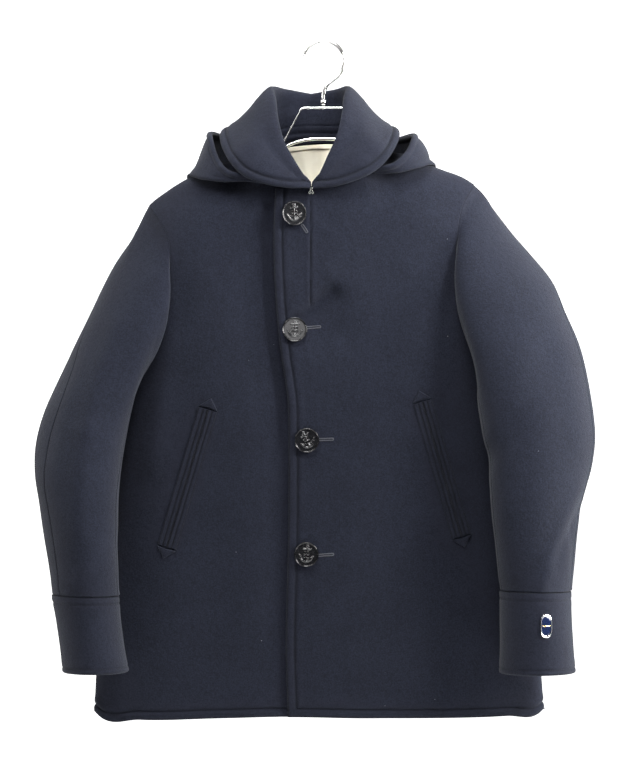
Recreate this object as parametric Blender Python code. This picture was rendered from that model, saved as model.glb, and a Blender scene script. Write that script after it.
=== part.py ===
"""A hooded wool coat, buttoned and hung on a metal hanger, as its maker would cut and sew it.

Tables and sizes are in millimetres, and MM turns them into Blender's metres.
+X is the viewer's right, +Y is behind the coat, +Z is up. The origin is the inner top of the
hanger's hook, where a rail holds it. Left and right are the viewer's.
"""

import math

import bpy
import numpy as np
from mathutils import Vector
from mathutils.bvhtree import BVHTree

MM = 0.001

CLOTH = 3.0  # felted wool
FACED = 5.4  # wool with its facing or turned hem behind it
SEAM = 0.15  # each side of a seam keeps this far from it
RESTS = 0.45  # what lies on the cloth keeps this far from it

SQUARE = 2.35  # how squarely the body turns its sides
SHOULDER_ROUND = 90.0  # the shoulder reaches its full depth this far below its ridge
SIDE_CORE = 48.0  # the sleeves part round a point this far inside the side seam
HEM_TURN = 30.0  # height of the turned hem
FACING = 75.0  # width of the facing behind the over front's edge
UNDERLAP = 70.0  # how far the under front runs on behind the over front's edge
SINK = 3.4  # the under front sinks this far below the over front's edge
LIFT = 2.9  # and the over front is lifted this far by it

NECK_MIDDLE = -15.5  # the coat hangs a little to the left of its hook
NECK_LEAN = 0.07  # and its right shoulder is higher

# height, left side, right side, depth of the front, depth of the back
BODY = (
    (-890, -301, 290, 33, 27),
    (-800, -296, 283, 38, 31),
    (-680, -284, 268, 45, 38),
    (-560, -271, 253, 51, 45),
    (-470, -263, 243, 56, 49),
    (-400, -258, 236, 58, 51),
    (-330, -252, 229, 57, 52),
    (-260, -245, 217, 55, 51),
    (-190, -240, 208, 53, 50),
    (-120, -238, 205, 50, 48),
)
# across, height of the shoulder ridge. Between the neck points it arches over the open neck.
SHOULDER = (
    (-300, -345), (-262, -268), (-241, -228), (-229, -214), (-205, -195), (-183, -181),
    (-140, -163), (-98, -147), (-84, -122), (-60, -96), (-16, -78), (28, -92), (53, -112),
    (67, -135), (110, -151), (156, -167), (188, -180), (198, -187), (210, -201), (230, -240),
    (290, -340),
)
# across, height of the hem
HEM = ((-301, -877), (-294, -885), (-240, -888), (-140, -885.5), (-50, -883.5), (60, -885),
       (240, -883), (283, -880), (290, -874))
# height, the over front's edge
FRONT_EDGE = (
    (-890, -46), (-796, -49), (-652, -46), (-534, -45.5), (-468, -46.5), (-409, -55),
    (-337, -62), (-259, -65), (-184, -62),
)
# share of the way from the shoulder point down to the underarm, across, height
ARMHOLE = {
    "left": ((0, -229, -214), (0.1, -215.5, -232.5), (0.22, -204.4, -252), (0.34, -200, -272),
             (0.48, -200, -298), (0.62, -203, -323), (0.74, -210, -353), (0.86, -226, -385),
             (0.94, -243, -403), (1, -259.3, -412)),
    "right": ((0, 198, -187), (0.1, 186, -206), (0.22, 178, -229), (0.34, 174, -256),
              (0.48, 172.5, -284), (0.62, 174.5, -313), (0.74, 181, -344), (0.86, 196, -371),
              (0.94, 214, -385), (1, 235, -392)),
}
# share of the way from the neck point to the centre, half width, height of the neck seam
NECK_FRONT = ((0, 83, -141), (0.15, 81, -153), (0.35, 71, -169), (0.6, 50, -182),
              (0.8, 26, -190), (1, 0, -193))
NECK_BACK = ((0, 83, -141), (0.2, 76, -136.5), (0.5, 51, -130), (0.8, 22, -127), (1, 0, -126.5))

# Broad, shallow folds: face, across, height, half width, half height, how far it stands out
FOLDS = (
    ("front", 6, -352, 34, 30, -4.0),
    ("front", 62, -345, 50, 46, 3.0),
    ("front", -112, -300, 26, 90, -3.0),
    ("front", -168, -330, 26, 95, 3.0),
    ("front", 118, -300, 40, 95, 2.5),
    ("front", -205, -640, 34, 160, 2.5),
    ("front", -130, -760, 34, 120, -2.5),
    ("front", 70, -740, 45, 130, 2.5),
    ("front", 160, -700, 34, 150, -2.5),
    ("front", 225, -760, 28, 130, 3.0),
    ("back", -120, -640, 45, 210, 4.5),
    ("back", -10, -700, 40, 190, -3.5),
    ("back", 110, -640, 45, 210, 4.5),
    ("back", 200, -760, 30, 120, -3.0),
    ("back", -215, -760, 30, 120, -3.0),
)

# ring, outer across, outer height, inner across, inner height, middle y, half depth,
# how far the inner side comes forward, bow towards the body
SLEEVE = {
    "left": (
        (0, -229, -214, -259, -412, 0, 44, 0, 44),
        (1, -240, -233, -266, -430, -1, 52, 2, 40),
        (2, -257, -261, -268, -450, -3, 58, 6, 34),
        (3, -277.5, -298.5, -263.5, -472, -8, 62, 12, 26),
        (4, -301, -344.5, -257, -496, -14, 64, 18, 18),
        (5, -324, -390, -256, -519.5, -22, 65, 22, 10),
        (6, -346.5, -439, -259, -544.5, -32, 65, 24, 4),
        (7, -365, -483.5, -262, -570, -42, 64, 24, 0),
        (8, -374, -526, -264, -597, -51, 63, 22, 0),
        (9, -374, -565.5, -265, -625.5, -58, 61, 18, 0),
        (10, -367.5, -603.5, -266.5, -655, -63, 59, 14, 0),
        (11, -360.5, -649, -265, -683.5, -67, 57, 10, 0),
        (12, -354, -694, -264, -710.5, -70, 55, 6, 0),
        (13, -351, -718.5, -263, -719.5, -71, 54, 4, 0),
        (14, -345, -752, -260.5, -754, -72, 53, 2, 0),
        (15, -339.5, -790, -256, -790, -73, 53, 0, 0),
        (16, -336.5, -818.5, -251, -817.5, -74, 54, 0, 0),
    ),
    "right": (
        (0, 198, -187, 235, -392, 0, 46, 0, 46),
        (1, 209, -197, 243, -408, -2, 54, 2, 42),
        (2, 225.5, -218.5, 243.5, -428, -6, 60, 8, 36),
        (3, 247.5, -247.5, 236.5, -450, -12, 64, 16, 26),
        (4, 274.5, -279, 226, -473, -20, 67, 24, 16),
        (5, 302.5, -313.5, 217.5, -496.5, -30, 68, 30, 8),
        (6, 318.5, -357.5, 213.5, -519.5, -40, 68, 32, 2),
        (7, 334, -400.5, 212, -542, -48, 67, 30, 0),
        (8, 345, -452.5, 213, -569.5, -56, 66, 28, 0),
        (9, 352.5, -509, 215, -598, -63, 64, 24, 0),
        (10, 348, -553.5, 217, -623, -69, 62, 20, 0),
        (11, 336, -593.5, 220, -648.5, -73, 60, 15, 0),
        (12, 327.5, -636.5, 222.5, -675, -75, 58, 10, 0),
        (13, 322.5, -686, 225, -698.5, -76, 56, 6, 0),
        (14, 320, -713.5, 226.5, -712.5, -77, 55, 4, 0),
        (15, 320, -751.5, 226.5, -751.5, -78, 54, 2, 0),
        (16, 322, -787, 227, -787, -79, 54, 0, 0),
        (17, 325, -818, 226, -819, -80, 55, 0, 0),
    ),
}
CUFF_RING = {"left": 13, "right": 14}
LAST_RING = {"left": 16, "right": 17}
# Where the two sleeve seams leave the armhole, and how far round the arm they are lower down
ELBOW_SEAM, ELBOW_TURN = 0.27, {"left": 0.13, "right": 0.06}
FRONT_SEAM, FRONT_TURN = 0.83, 0.46
SEAMS_SETTLE = 7.0  # the ring by which they have turned

# place along the half, middle, lean, roll: half width, y, height, edge: half width, y, height
COLLAR = (
    (0.00, -15.5, 0.00, 4, -62, -188, 9, -69, -194.5),
    (0.10, -15.8, 0.03, 13, -66, -176, 28, -71, -194),
    (0.22, -17.0, 0.04, 24, -62, -155, 56, -72, -188),
    (0.36, -18.0, 0.04, 36.5, -52, -129, 86, -70, -175),
    (0.50, -18.0, 0.03, 44, -34, -99, 107, -55, -151.5),
    (0.62, -18.0, 0.02, 47, -10, -74, 117, -27, -127),
    (0.74, -18.0, 0.01, 50, 17, -59, 111.5, 12, -115),
    (0.87, -17.5, 0.00, 34, 45, -60, 80, 66, -117),
    (1.00, -16.0, 0.00, 0, 55, -65, 0, 96, -127),
)
COLLAR_WALL = 4.6
# place along the half, seam: half width, y, height, fold: the same, rim: the same, belly,
# lean of the fold, lean of the rim
HOOD = (
    (0.00, 62, -50, -180, 80, -57, -177, 77, -62, -171, 0, 0.050, 0.050),
    (0.14, 76, -42, -170, 110, -57, -178, 103, -63, -167, 1, 0.055, 0.050),
    (0.30, 86, -22, -160, 141, -42, -171, 121, -48, -149, 3, 0.055, 0.030),
    (0.44, 89, 0, -150, 157, -10, -167, 131, -24, -123, 5, 0.050, 0.000),
    (0.58, 84, 20, -146, 157, 34, -193, 130, 18, -116, 8, 0.040, -0.010),
    (0.72, 64, 38, -140, 132, 72, -268, 112, 78, -118, 12, 0.020, -0.010),
    (0.86, 34, 48, -136, 80, 88, -345, 68, 116, -128, 15, 0.000, 0.000),
    (1.00, 0, 52, -134, 0, 92, -384, 0, 130, -136, 16, 0.000, 0.000),
)

# pale lining of the upper back: how far below the neck seam, half width
LINING = ((3.0, 70), (14, 78), (36, 98), (70, 116), (110, 128), (160, 134))

# button: across, height, turn about its upright
BUTTONS = ((-38.6, -226.6, 16), (-37.3, -377.3, 0), (-21.6, -520.1, 0), (-22.3, -668.1, 0))
BUTTON_WIDE = 32.0
# radius and height of a button's turned outline
BUTTON_OUTLINE = ((0, 0.3), (9, 0), (14, 0.7), (16, 2.4), (15.7, 3.8), (14.6, 4.5), (13.3, 4.0),
                  (12.3, 3.1), (0, 2.8))

# pocket: its upper end, its lower end, each across and height
POCKETS = {"left": ((-149.6, -479.3), (-204, -660.7)), "right": ((127.7, -469.4), (179.5, -646.3))}
WELT_WIDE, WELT_THICK, WELT_GAP = 12.0, 2.2, 0.8
TAB_WIDE, TAB_HIGH, TAB_THICK = 26.0, 14.0, 2.2

PIN = (283.0, -755.2)  # middle of the cuff's pin, across and height
PIN_WIDE, PIN_HIGH = 14.8, 30.0

HOOK_RADIUS, HOOK_WIRE = 27.0, 4.9
BRACKET_DEEP, BRACKET_THICK = 18.0, 2.4
# across, height of the bracket's top bar and legs
BRACKET = ((-56.2, -138.3), (-31.5, -92), (-30, -88.6), (-27, -86.6),
           (27, -86.6), (30, -88.6), (31.5, -92), (56.2, -138.3))
ARM_DEEP, ARM_THICK = 17.0, 3.0
# across, height of the hanger's arm
ARM = ((0, -126.5), (25, -128.5), (46, -135), (62, -145.3), (98, -161.8), (150, -181), (186, -197))

# How closely each surface is followed
ARM_STEPS = (0, 0.03, 0.08, 0.16, 0.27, 0.38, 0.5, 0.62, 0.73, 0.83, 0.91, 0.96, 0.986, 1)
SIDE_STEPS = (0, 0.02, 0.05, 0.13, 0.23, 0.33, 0.43, 0.53, 0.62, 0.7)
ACROSS = (0, 0.015, 0.045, 0.1, 0.18, 0.28, 0.39, 0.5, 0.62, 0.74, 0.86, 0.95, 1)
SLEEVE_HEAD = (0, 0.3, 0.65, 1, 1.5)  # rings close together round the armhole
SLEEVE_EVEN = ((6.0, 2), (5.0, 1), (4.5, 0))  # how far it is kept off the body, times evened out
UNDERARM = SIDE_STEPS[-1]  # share of a side that the side seam takes


def curve(rows):
    """Turns a table into a function: its first column in, the others out, on a smooth line."""
    table = np.array(rows, float)
    key, values = table[:, 0], table[:, 1:]
    slope = np.gradient(values, key, axis=0)

    def at(place):
        place = np.asarray(place, float)
        k = np.clip(np.searchsorted(key, place, side="right") - 1, 0, len(key) - 2)
        span = (key[k + 1] - key[k])[..., None]
        t = np.clip((place - key[k])[..., None] / span, 0, 1)
        rise = t * t * (3 - 2 * t)
        leave = t * (1 - t) ** 2 * span * slope[k]
        arrive = t * t * (t - 1) * span * slope[k + 1]
        return values[k] * (1 - rise) + values[k + 1] * rise + leave + arrive

    return at


def step_up(x):
    """0 below 0, 1 above 1 and smooth between."""
    x = np.clip(x, 0, 1)
    return x * x * (3 - 2 * x)


body_level = curve(BODY)
shoulder_height = curve(SHOULDER)
hem_height = curve(HEM)
front_edge = curve(FRONT_EDGE)
armhole = {side: curve(rows) for side, rows in ARMHOLE.items()}
neck = {"front": curve(NECK_FRONT), "back": curve(NECK_BACK)}


def edge_x(z):
    return front_edge(z)[..., 0]


def depth(x, z, face):
    """How far the cloth stands from the coat's mid plane, y = 0."""
    level = body_level(z)
    left, right = level[..., 0], level[..., 1]
    full = level[..., 2 if face == "front" else 3]
    across = np.clip(np.abs(2 * x - left - right) / (right - left), 0, 1)
    below = np.clip((shoulder_height(x)[..., 0] - z) / SHOULDER_ROUND, 0, 1)
    side = (1 - across**SQUARE) ** (1 / SQUARE)
    ridge = np.sqrt(1 - (1 - below) ** 2)
    folds = sum(
        out * np.exp(-(((x - fx) / wide) ** 2) - ((z - fz) / high) ** 2)
        for where, fx, fz, wide, high, out in FOLDS
        if where == face
    )
    return (full + folds) * side * ridge


def back_y(x, z):
    return SEAM + depth(x, z, "back")


def front_left_y(x, z):
    """The under front: it sinks where the over front's edge presses on it."""
    sunk = SINK * step_up((x - edge_x(z) + 60) / 50)
    return -SEAM - np.maximum(depth(x, z, "front") - sunk, 0)


def front_right_y(x, z):
    """The over front: the under front lifts it as far as it runs."""
    lifted = LIFT * (1 - step_up((x - edge_x(z) - UNDERLAP - 8) / 60))
    return -SEAM - depth(x, z, "front") - lifted


def normals(surface, x, z, outward):
    """Unit normals of the surface y(x, z), on the side that outward, -1 or 1, gives."""
    reach = 0.6
    along_x = (surface(x + reach, z) - surface(x - reach, z)) / (2 * reach)
    along_z = (surface(x, z + reach) - surface(x, z - reach)) / (2 * reach)
    n = np.stack([-along_x, np.ones_like(along_x), -along_z], -1) * outward
    return n / np.linalg.norm(n, axis=-1, keepdims=True)


def neck_point(face, side, share):
    """A point of the neck seam, across and height; share runs from the neck point to the centre."""
    half, z = np.moveaxis(neck[face](share), -1, 0)
    hand = -1 if side == "left" else 1
    return np.stack([NECK_MIDDLE + hand * half, z + NECK_LEAN * hand * half], -1)


def shoulder_seam(side, share):
    """From the shoulder point to the neck point, on the ridge."""
    start = armhole[side](0.0)[0]
    end = neck_point("front", side, 0.0)[0]
    x = start + (end - start) * np.asarray(share, float)
    return np.stack([x, shoulder_height(x)[..., 0]], -1)


def side_line(side, up):
    """The side seam from the hem to the underarm, then the armhole to the shoulder point."""
    column = 0 if side == "left" else 1
    hem_z = HEM[0 if side == "left" else -1][1]
    arm_z = armhole[side](1.0)[1]
    z = hem_z + (arm_z - hem_z) * np.clip(up / UNDERARM, 0, 1)
    seam = np.stack([body_level(z)[..., column], z], -1)
    hole = armhole[side](np.clip((1 - up) / (1 - UNDERARM), 0, 1))
    return np.where((up < UNDERARM)[:, None], seam, hole)


def front_top(side, across):
    """The shoulder seam, then the neck seam on to the front's own edge."""
    seam = shoulder_seam(side, np.clip(across / 0.5, 0, 1))
    share = np.clip((across - 0.5) / 0.5, 0, 1)
    if side == "left":
        last = edge_x(-190.0) + UNDERLAP
    else:
        last = edge_x(-190.0)
    overrun = abs(last - NECK_MIDDLE) / (83 + abs(last - NECK_MIDDLE))
    to_centre = np.clip(share / (1 - overrun), 0, 1)
    neckline = neck_point("front", side, to_centre)
    past = np.clip((share - 1 + overrun) / overrun, 0, 1)
    neckline = neckline + np.stack([past * (last - NECK_MIDDLE), -1.5 * past], -1)
    return np.where((across <= 0.5)[:, None], seam, neckline)


def coons(side, centre, hem, top, across, up):
    """Fills four edges with a grid of (x, z), a row for each up and a column for each across."""
    s, v = across[None, :, None], up[:, None, None]
    edges = (1 - s) * side[:, None] + s * centre[:, None] + (1 - v) * hem[None] + v * top[None]
    corners = (1 - s) * ((1 - v) * side[0] + v * side[-1]) + s * (
        (1 - v) * centre[0] + v * centre[-1]
    )
    return edges - corners


def front_grid(side, across, up):
    top = front_top(side, across)
    hem_x = BODY[0][1 if side == "left" else 2]
    end_x = edge_x(HEM[4][1]) + (UNDERLAP if side == "left" else 0)
    x = hem_x + (end_x - hem_x) * across
    hem = np.stack([x, hem_height(x)[..., 0]], -1)
    z = hem[-1, 1] + (top[-1, 1] - hem[-1, 1]) * up
    centre = np.stack([edge_x(z) + (UNDERLAP if side == "left" else 0), z], -1)
    hem[-1], top[-1] = centre[0], centre[-1]
    side_edge = side_line(side, up)
    hem[0], top[0] = side_edge[0], side_edge[-1]
    return coons(side_edge, centre, hem, top, across, up)


def back_grid(half, up):
    """Both halves in one grid; half is the spacing from a side to the centre."""
    across = np.concatenate([half / 2, 1 - half[::-1][1:] / 2])
    tops = []
    for side in ("left", "right"):
        seam = shoulder_seam(side, np.clip(half / 0.5, 0, 1))
        neckline = neck_point("back", side, np.clip((half - 0.5) / 0.5, 0, 1))
        tops.append(np.where((half <= 0.5)[:, None], seam, neckline))
    top = np.concatenate([tops[0], tops[1][::-1][1:]])
    x = BODY[0][1] + (BODY[0][2] - BODY[0][1]) * across
    hem = np.stack([x, hem_height(x)[..., 0]], -1)
    left, right = side_line("left", up), side_line("right", up)
    hem[0], hem[-1] = left[0], right[0]
    return coons(left, right, hem, top, across, up)


def lift_points(grid, surface, outward):
    """The grid's points on the surface, and their outward normals."""
    x, z = grid[..., 0], grid[..., 1]
    points = np.stack([x, surface(x, z), z], -1)
    return points, normals(surface, x, z, outward)


def grid_normals(points, closed=False):
    """Unit normals of a grid of points, rows first; closed joins its last column to its first."""
    if closed:
        along = np.roll(points, -1, 1) - np.roll(points, 1, 1)
    else:
        along = np.gradient(points, axis=1)
    down = np.gradient(points, axis=0)
    n = np.cross(along, down)
    return n / np.maximum(np.linalg.norm(n, axis=-1, keepdims=True), 1e-9)


def outward(tube):
    """Unit normals of a tube of rings that point away from its middle."""
    normal = grid_normals(tube, closed=True)
    half = len(tube) // 2
    if np.sum(normal[half] * (tube[half] - tube[half].mean(axis=0))) < 0:
        normal = -normal
    return normal


def material(name, colour, roughness, metallic=0.0):
    made = bpy.data.materials.get(name)
    if made is None:
        made = bpy.data.materials.new(name)
        made.use_nodes = True
        shader = made.node_tree.nodes["Principled BSDF"]
        shader.inputs["Base Color"].default_value = (*colour, 1)
        shader.inputs["Roughness"].default_value = roughness
        shader.inputs["Metallic"].default_value = metallic
        made.diffuse_color = (*colour, 1)
    return made


def wool():
    return material("navy_wool", (0.012, 0.015, 0.030), 0.95)


def lining_cloth():
    return material("pale_lining", (0.80, 0.78, 0.74), 0.6)


def steel():
    return material("chrome", (0.75, 0.75, 0.76), 0.15, 1.0)


def button_plastic():
    return material("black_button", (0.01, 0.01, 0.01), 0.2)


def enamel():
    return material("blue_enamel", (0.02, 0.05, 0.25), 0.3)


def add_mesh(name, points, faces, look, smooth=True):
    """An object from points in millimetres; a mesh that is inside out is turned."""
    points = np.asarray(points, float)
    volume = 0.0
    for face in faces:
        for k in range(1, len(face) - 1):
            a, b, c = points[face[0]], points[face[k]], points[face[k + 1]]
            volume += np.dot(a, np.cross(b, c))
    if volume < 0:
        faces = [face[::-1] for face in faces]
    mesh = bpy.data.meshes.new(name)
    mesh.from_pydata((points * MM).tolist(), [], [tuple(map(int, face)) for face in faces])
    mesh.materials.append(look)
    if smooth:
        mesh.shade_smooth()
        mesh.set_sharp_from_angle(angle=math.radians(50))
    obj = bpy.data.objects.new(name, mesh)
    bpy.context.scene.collection.objects.link(obj)
    return obj


def wall(name, outer, inner, look, closed=False):
    """A closed cloth wall between two grids of points; closed joins the columns into a tube."""
    rows, columns = outer.shape[:2]
    points = np.concatenate([outer.reshape(-1, 3), inner.reshape(-1, 3)])
    behind = rows * columns
    faces = []
    for i in range(rows - 1):
        for j in range(columns if closed else columns - 1):
            k = (j + 1) % columns
            quad = (i * columns + j, i * columns + k, (i + 1) * columns + k, (i + 1) * columns + j)
            faces.append(quad)
            faces.append(tuple(behind + corner for corner in quad[::-1]))
    if closed:
        rims = [[i * columns + j for j in range(columns)] + [i * columns] for i in (0, rows - 1)]
        rims[1].reverse()
    else:
        round_edge = [j for j in range(columns)]
        round_edge += [i * columns + columns - 1 for i in range(1, rows)]
        round_edge += [(rows - 1) * columns + j for j in range(columns - 2, -1, -1)]
        round_edge += [i * columns for i in range(rows - 2, -1, -1)]
        rims = [round_edge]
    for rim in rims:
        for a, b in zip(rim, rim[1:]):
            faces.append((b, a, behind + a, behind + b))
    return add_mesh(name, points, faces, look)


def cloth_thickness(grid, side):
    """Thicker at the turned hem, and on the over front along its faced edge."""
    x, z = grid[..., 0], grid[..., 1]
    hem = 1 - step_up((z - hem_height(x)[..., 0] - HEM_TURN) / 12)
    faced = 0
    if side == "right":
        faced = 1 - step_up((x - edge_x(z) - FACING) / 30)
    return CLOTH + (FACED - CLOTH) * np.maximum(hem, faced)


def outer_body():
    """The outer faces of the three body pieces, as grids of points and of normals."""
    across = np.array(ACROSS)
    up = up_steps()
    pieces = {}
    for side, surface in (("left", front_left_y), ("right", front_right_y)):
        grid = front_grid(side, across, up)
        pieces["front_" + side] = (grid, *lift_points(grid, surface, -1))
    grid = back_grid(across, up)
    pieces["back"] = (grid, *lift_points(grid, back_y, 1))
    return pieces


def up_steps():
    arm = 1 - (1 - UNDERARM) * np.array(ARM_STEPS[::-1][1:])
    return np.concatenate([SIDE_STEPS, arm])


def body_tree(pieces):
    """A search tree of the body's outer faces, to keep other cloth clear of them."""
    points, faces = [], []
    for _, outer, normal in pieces.values():
        rows, columns = outer.shape[:2]
        first = len(points)
        points += [Vector(p) for p in outer.reshape(-1, 3)]
        i, j = rows // 2, columns // 2
        turn = np.cross(outer[i, j + 1] - outer[i, j], outer[i + 1, j] - outer[i, j])
        order = 1 if np.dot(turn, normal[i, j]) > 0 else -1
        for i in range(rows - 1):
            for j in range(columns - 1):
                a = first + i * columns + j
                faces.append((a, a + 1, a + columns + 1, a + columns)[::order])
    return BVHTree.FromPolygons(points, faces)


def keep_clear(points, tree, margin):
    """Moves points that come nearer to the body than the margin, or into it, out to the margin."""
    moved = points.copy()
    for index in np.ndindex(points.shape[:-1]):
        spot, normal, _, far = tree.find_nearest(Vector(points[index]))
        away = Vector(points[index]) - spot
        height = away.dot(normal)
        gap = margin[index] if np.ndim(margin) else margin
        if abs(height) < 0.8 * far:
            # Beside an open edge of the body, not under its cloth
            if far < gap:
                moved[index] = spot + away / far * gap
        elif height < gap:
            moved[index] = spot + normal * gap
    return moved


def keep_beside(points, side, gap):
    """Moves points level with the body's side seam outwards, round the corner of the body."""
    x, y, z = np.moveaxis(points, -1, 0)
    hand = -1 if side == "left" else 1
    below = z < armhole[side](1.0)[1] + 4
    centre_x = body_level(z)[..., 0 if side == "left" else 1] - hand * SIDE_CORE
    reach = np.hypot(x - centre_x, y)
    way_x, way_y = (x - centre_x) / reach, y / reach
    low, high = np.zeros_like(reach), np.full_like(reach, 250.0)
    for _ in range(24):
        tried = (low + high) / 2
        at_x = centre_x + way_x * tried
        deep = np.where(way_y < 0, depth(at_x, z, "front"), depth(at_x, z, "back"))
        inside = (np.abs(way_y) * tried < deep) & below
        low, high = np.where(inside, tried, low), np.where(inside, high, tried)
    reach = np.where(below & (way_x * hand > -0.2), np.maximum(reach, low + gap), reach)
    return np.stack([centre_x + way_x * reach, way_y * reach, z], -1)


def make_body(pieces):
    for name, (grid, outer, normal) in pieces.items():
        side = "right" if name == "front_right" else "other"
        inner = outer - normal * cloth_thickness(grid, side)[..., None]
        if name == "back":
            inner[..., 1] = np.maximum(inner[..., 1], SEAM)
        else:
            inner[..., 1] = np.minimum(inner[..., 1], -SEAM)
        wall(name, outer, inner, wool())


def armhole_loop(side, turn):
    """Points and outward normals of the body at the armhole; turn 0 is the shoulder point, then
    down the front to the underarm at 0.5 and up the back."""
    share = np.where(turn <= 0.5, turn * 2, 2 - turn * 2)
    hole = armhole[side](share)
    x, z = hole[..., 0], hole[..., 1]
    over = front_left_y if side == "left" else front_right_y
    y = np.where(turn <= 0.5, over(x, z), back_y(x, z))
    normal = np.where(
        (turn <= 0.5)[:, None], normals(over, x, z, -1), normals(back_y, x, z, 1)
    )
    return np.stack([x, y, z], -1), normal


def ring_turns(side, ring):
    """Where the sleeve's lengthwise lines lie at a ring: the top sleeve's, then the under one's."""
    arm = np.array(ARM_STEPS)
    back = 1 - arm / 2
    top0 = np.concatenate([back[arm <= ELBOW_SEAM][::-1] - 1, arm[(arm > 0) & (arm <= FRONT_SEAM)] / 2])
    under0 = np.concatenate([arm[arm >= FRONT_SEAM] / 2, back[(arm < 1) & (arm >= ELBOW_SEAM)][::-1]])
    elbow = ELBOW_TURN[side]
    top1 = np.linspace(elbow, FRONT_TURN, len(top0))
    under1 = np.linspace(FRONT_TURN, 1 + elbow, len(under0))
    settled = step_up(ring / SEAMS_SETTLE)
    return top0 + (top1 - top0) * settled, under0 + (under1 - under0) * settled


def free_ring(side, ring, turn):
    """The sleeve's section at a ring, away from the armhole."""
    ox, oz, ix, iz, mid_y, half_y, forward, bow = curve(SLEEVE[side])(float(ring))
    angle = 2 * math.pi * turn
    centre = np.array([(ox + ix) / 2, (oz + iz) / 2])
    radius = np.array([(ox - ix) / 2, (oz - iz) / 2])
    spread = np.linalg.norm(radius)
    inward = np.array([radius[1], -radius[0]]) / spread
    if (inward[0] > 0) == (side == "right"):
        inward = -inward
    cos, sin = np.cos(angle), np.sin(angle)
    flat = centre + radius * cos[:, None] + inward * bow * (sin**2)[:, None]
    y = mid_y - half_y * sin + forward * cos - 0.15 * forward
    return np.stack([flat[:, 0], y, flat[:, 1]], -1)


def sleeve_ring(side, ring, turn, turn0):
    """The sleeve's section, which starts on the armhole and soon runs free of it."""
    free = free_ring(side, ring, turn)
    hole, _ = armhole_loop(side, turn0 % 1.0)
    fade = (1 - step_up(ring / 3.2)) ** 1.5
    return free + (hole - free_ring(side, 0, turn0)) * fade


def share_of_turn(turn):
    """How far round the armhole from the shoulder point, either way, as a share of a turn."""
    return np.abs((np.asarray(turn) + 0.5) % 1.0 - 0.5)


def armhole_gap(side, turn0):
    """A small shift off the body's edge: half sideways along the cloth, half out of it."""
    _, normal = armhole_loop(side, turn0 % 1.0)
    ahead, _ = armhole_loop(side, (turn0 + 0.004) % 1.0)
    behind, _ = armhole_loop(side, (turn0 - 0.004) % 1.0)
    tangent = ahead - behind
    tangent /= np.linalg.norm(tangent, axis=-1, keepdims=True)
    beside = np.cross(tangent, normal)
    outward = np.array([-1.0 if side == "left" else 1.0, 0, 0])
    beside *= np.sign(beside @ outward + 1e-6)[:, None]
    low = np.abs(turn0 % 1.0 - 0.5) < 0.09
    beside[low] = np.array([0, 0, 1.0])
    lowest = np.abs(turn0 % 1.0 - 0.5) < 0.05
    reach = np.where(share_of_turn(turn0) < 0.1, 2.2, np.where(lowest, 1.3, 0.7))
    return (beside + normal) * reach[:, None]


def smoothed(shift, times):
    """Evens out a tube of shifts, round it and along it."""
    for _ in range(times):
        round_it = (np.roll(shift, 1, 1) + np.roll(shift, -1, 1)) / 2
        shift = (shift + round_it) / 2
        along = shift.copy()
        along[1:-1] = (shift[2:] + shift[:-2]) / 2
        shift = (shift + along) / 2
    return shift


def make_sleeve(side):
    rings = np.concatenate([SLEEVE_HEAD, np.arange(2, CUFF_RING[side] + 1)])
    rings[-1] -= 0.008
    top0, under0 = ring_turns(side, 0)
    turns = np.concatenate([top0[:-1], under0[:-1]])
    rows = []
    for ring in rings:
        top, under = ring_turns(side, ring)
        rows.append(sleeve_ring(side, ring, np.concatenate([top[:-1], under[:-1]]), turns))
    whole = np.array(rows)
    start = np.clip(rings / 1.2, 0, 1)[:, None, None]
    pushed = whole.copy()
    for margin, times in SLEEVE_EVEN:
        shift = keep_beside(pushed, side, margin) - pushed
        pushed = pushed + smoothed(shift, times) * start
    pushed[0] = whole[0] + armhole_gap(side, turns)
    normal = outward(pushed)
    split = len(top0) - 1
    for name, first, last in (("top", 0, split), ("under", split, whole.shape[1])):
        columns = [j % whole.shape[1] for j in range(first, last + 1)]
        outer = pushed[:, columns].copy()
        away = normal[:, columns]
        for edge, inside in ((0, 1), (-1, -2)):
            step = outer[:, inside] - outer[:, edge]
            apart = np.where(rings < 1.6, 0.95, 0.4)[:, None]
            outer[:, edge] += apart * step / np.linalg.norm(step, axis=-1, keepdims=True)
        wall(f"sleeve_{name}_{side}", outer, outer - away * CLOTH, wool())


def make_cuff(side, tree):
    first, last = CUFF_RING[side], LAST_RING[side]
    rings = np.linspace(first + 0.012, last, last - first + 2)
    turn = np.linspace(0, 1, 22, endpoint=False)
    points = np.array([free_ring(side, ring, turn) for ring in rings])
    points = keep_clear(keep_beside(points, side, 4.0), tree, 4.0)
    normal = outward(points)
    thick = np.interp(rings, (first, first + 1, last), (CLOTH, FACED - 1, FACED))[:, None, None]
    wall(f"cuff_{side}", points, points - normal * thick, wool(), closed=True)


def folded(seam, fold, edge, rounding, first_belly, last_belly, steps):
    """A line from the seam up to a rounded fold and down to the edge. A belly bows its leg
    away from the other one."""
    a = fold + (seam - fold) * rounding
    b = fold + (edge - fold) * rounding
    corner = 2 * fold - (a + b) / 2
    legs = []
    for start, end, other, belly in ((seam, a, edge, first_belly), (b, edge, seam, last_belly)):
        t = np.linspace(0, 1, steps)[:, None]
        run = (end - start) / np.linalg.norm(end - start)
        off = (start + end) / 2 - other
        off -= run * np.dot(off, run)
        off /= max(np.linalg.norm(off), 1e-6)
        legs.append(start + (end - start) * t + off * belly * 4 * t * (1 - t))
    t = np.linspace(0, 1, steps + 1)[1:-1, None]
    bend = a * (1 - t) ** 2 + corner * 2 * t * (1 - t) + b * t**2
    return np.concatenate([legs[0], bend, legs[1]])


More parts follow.
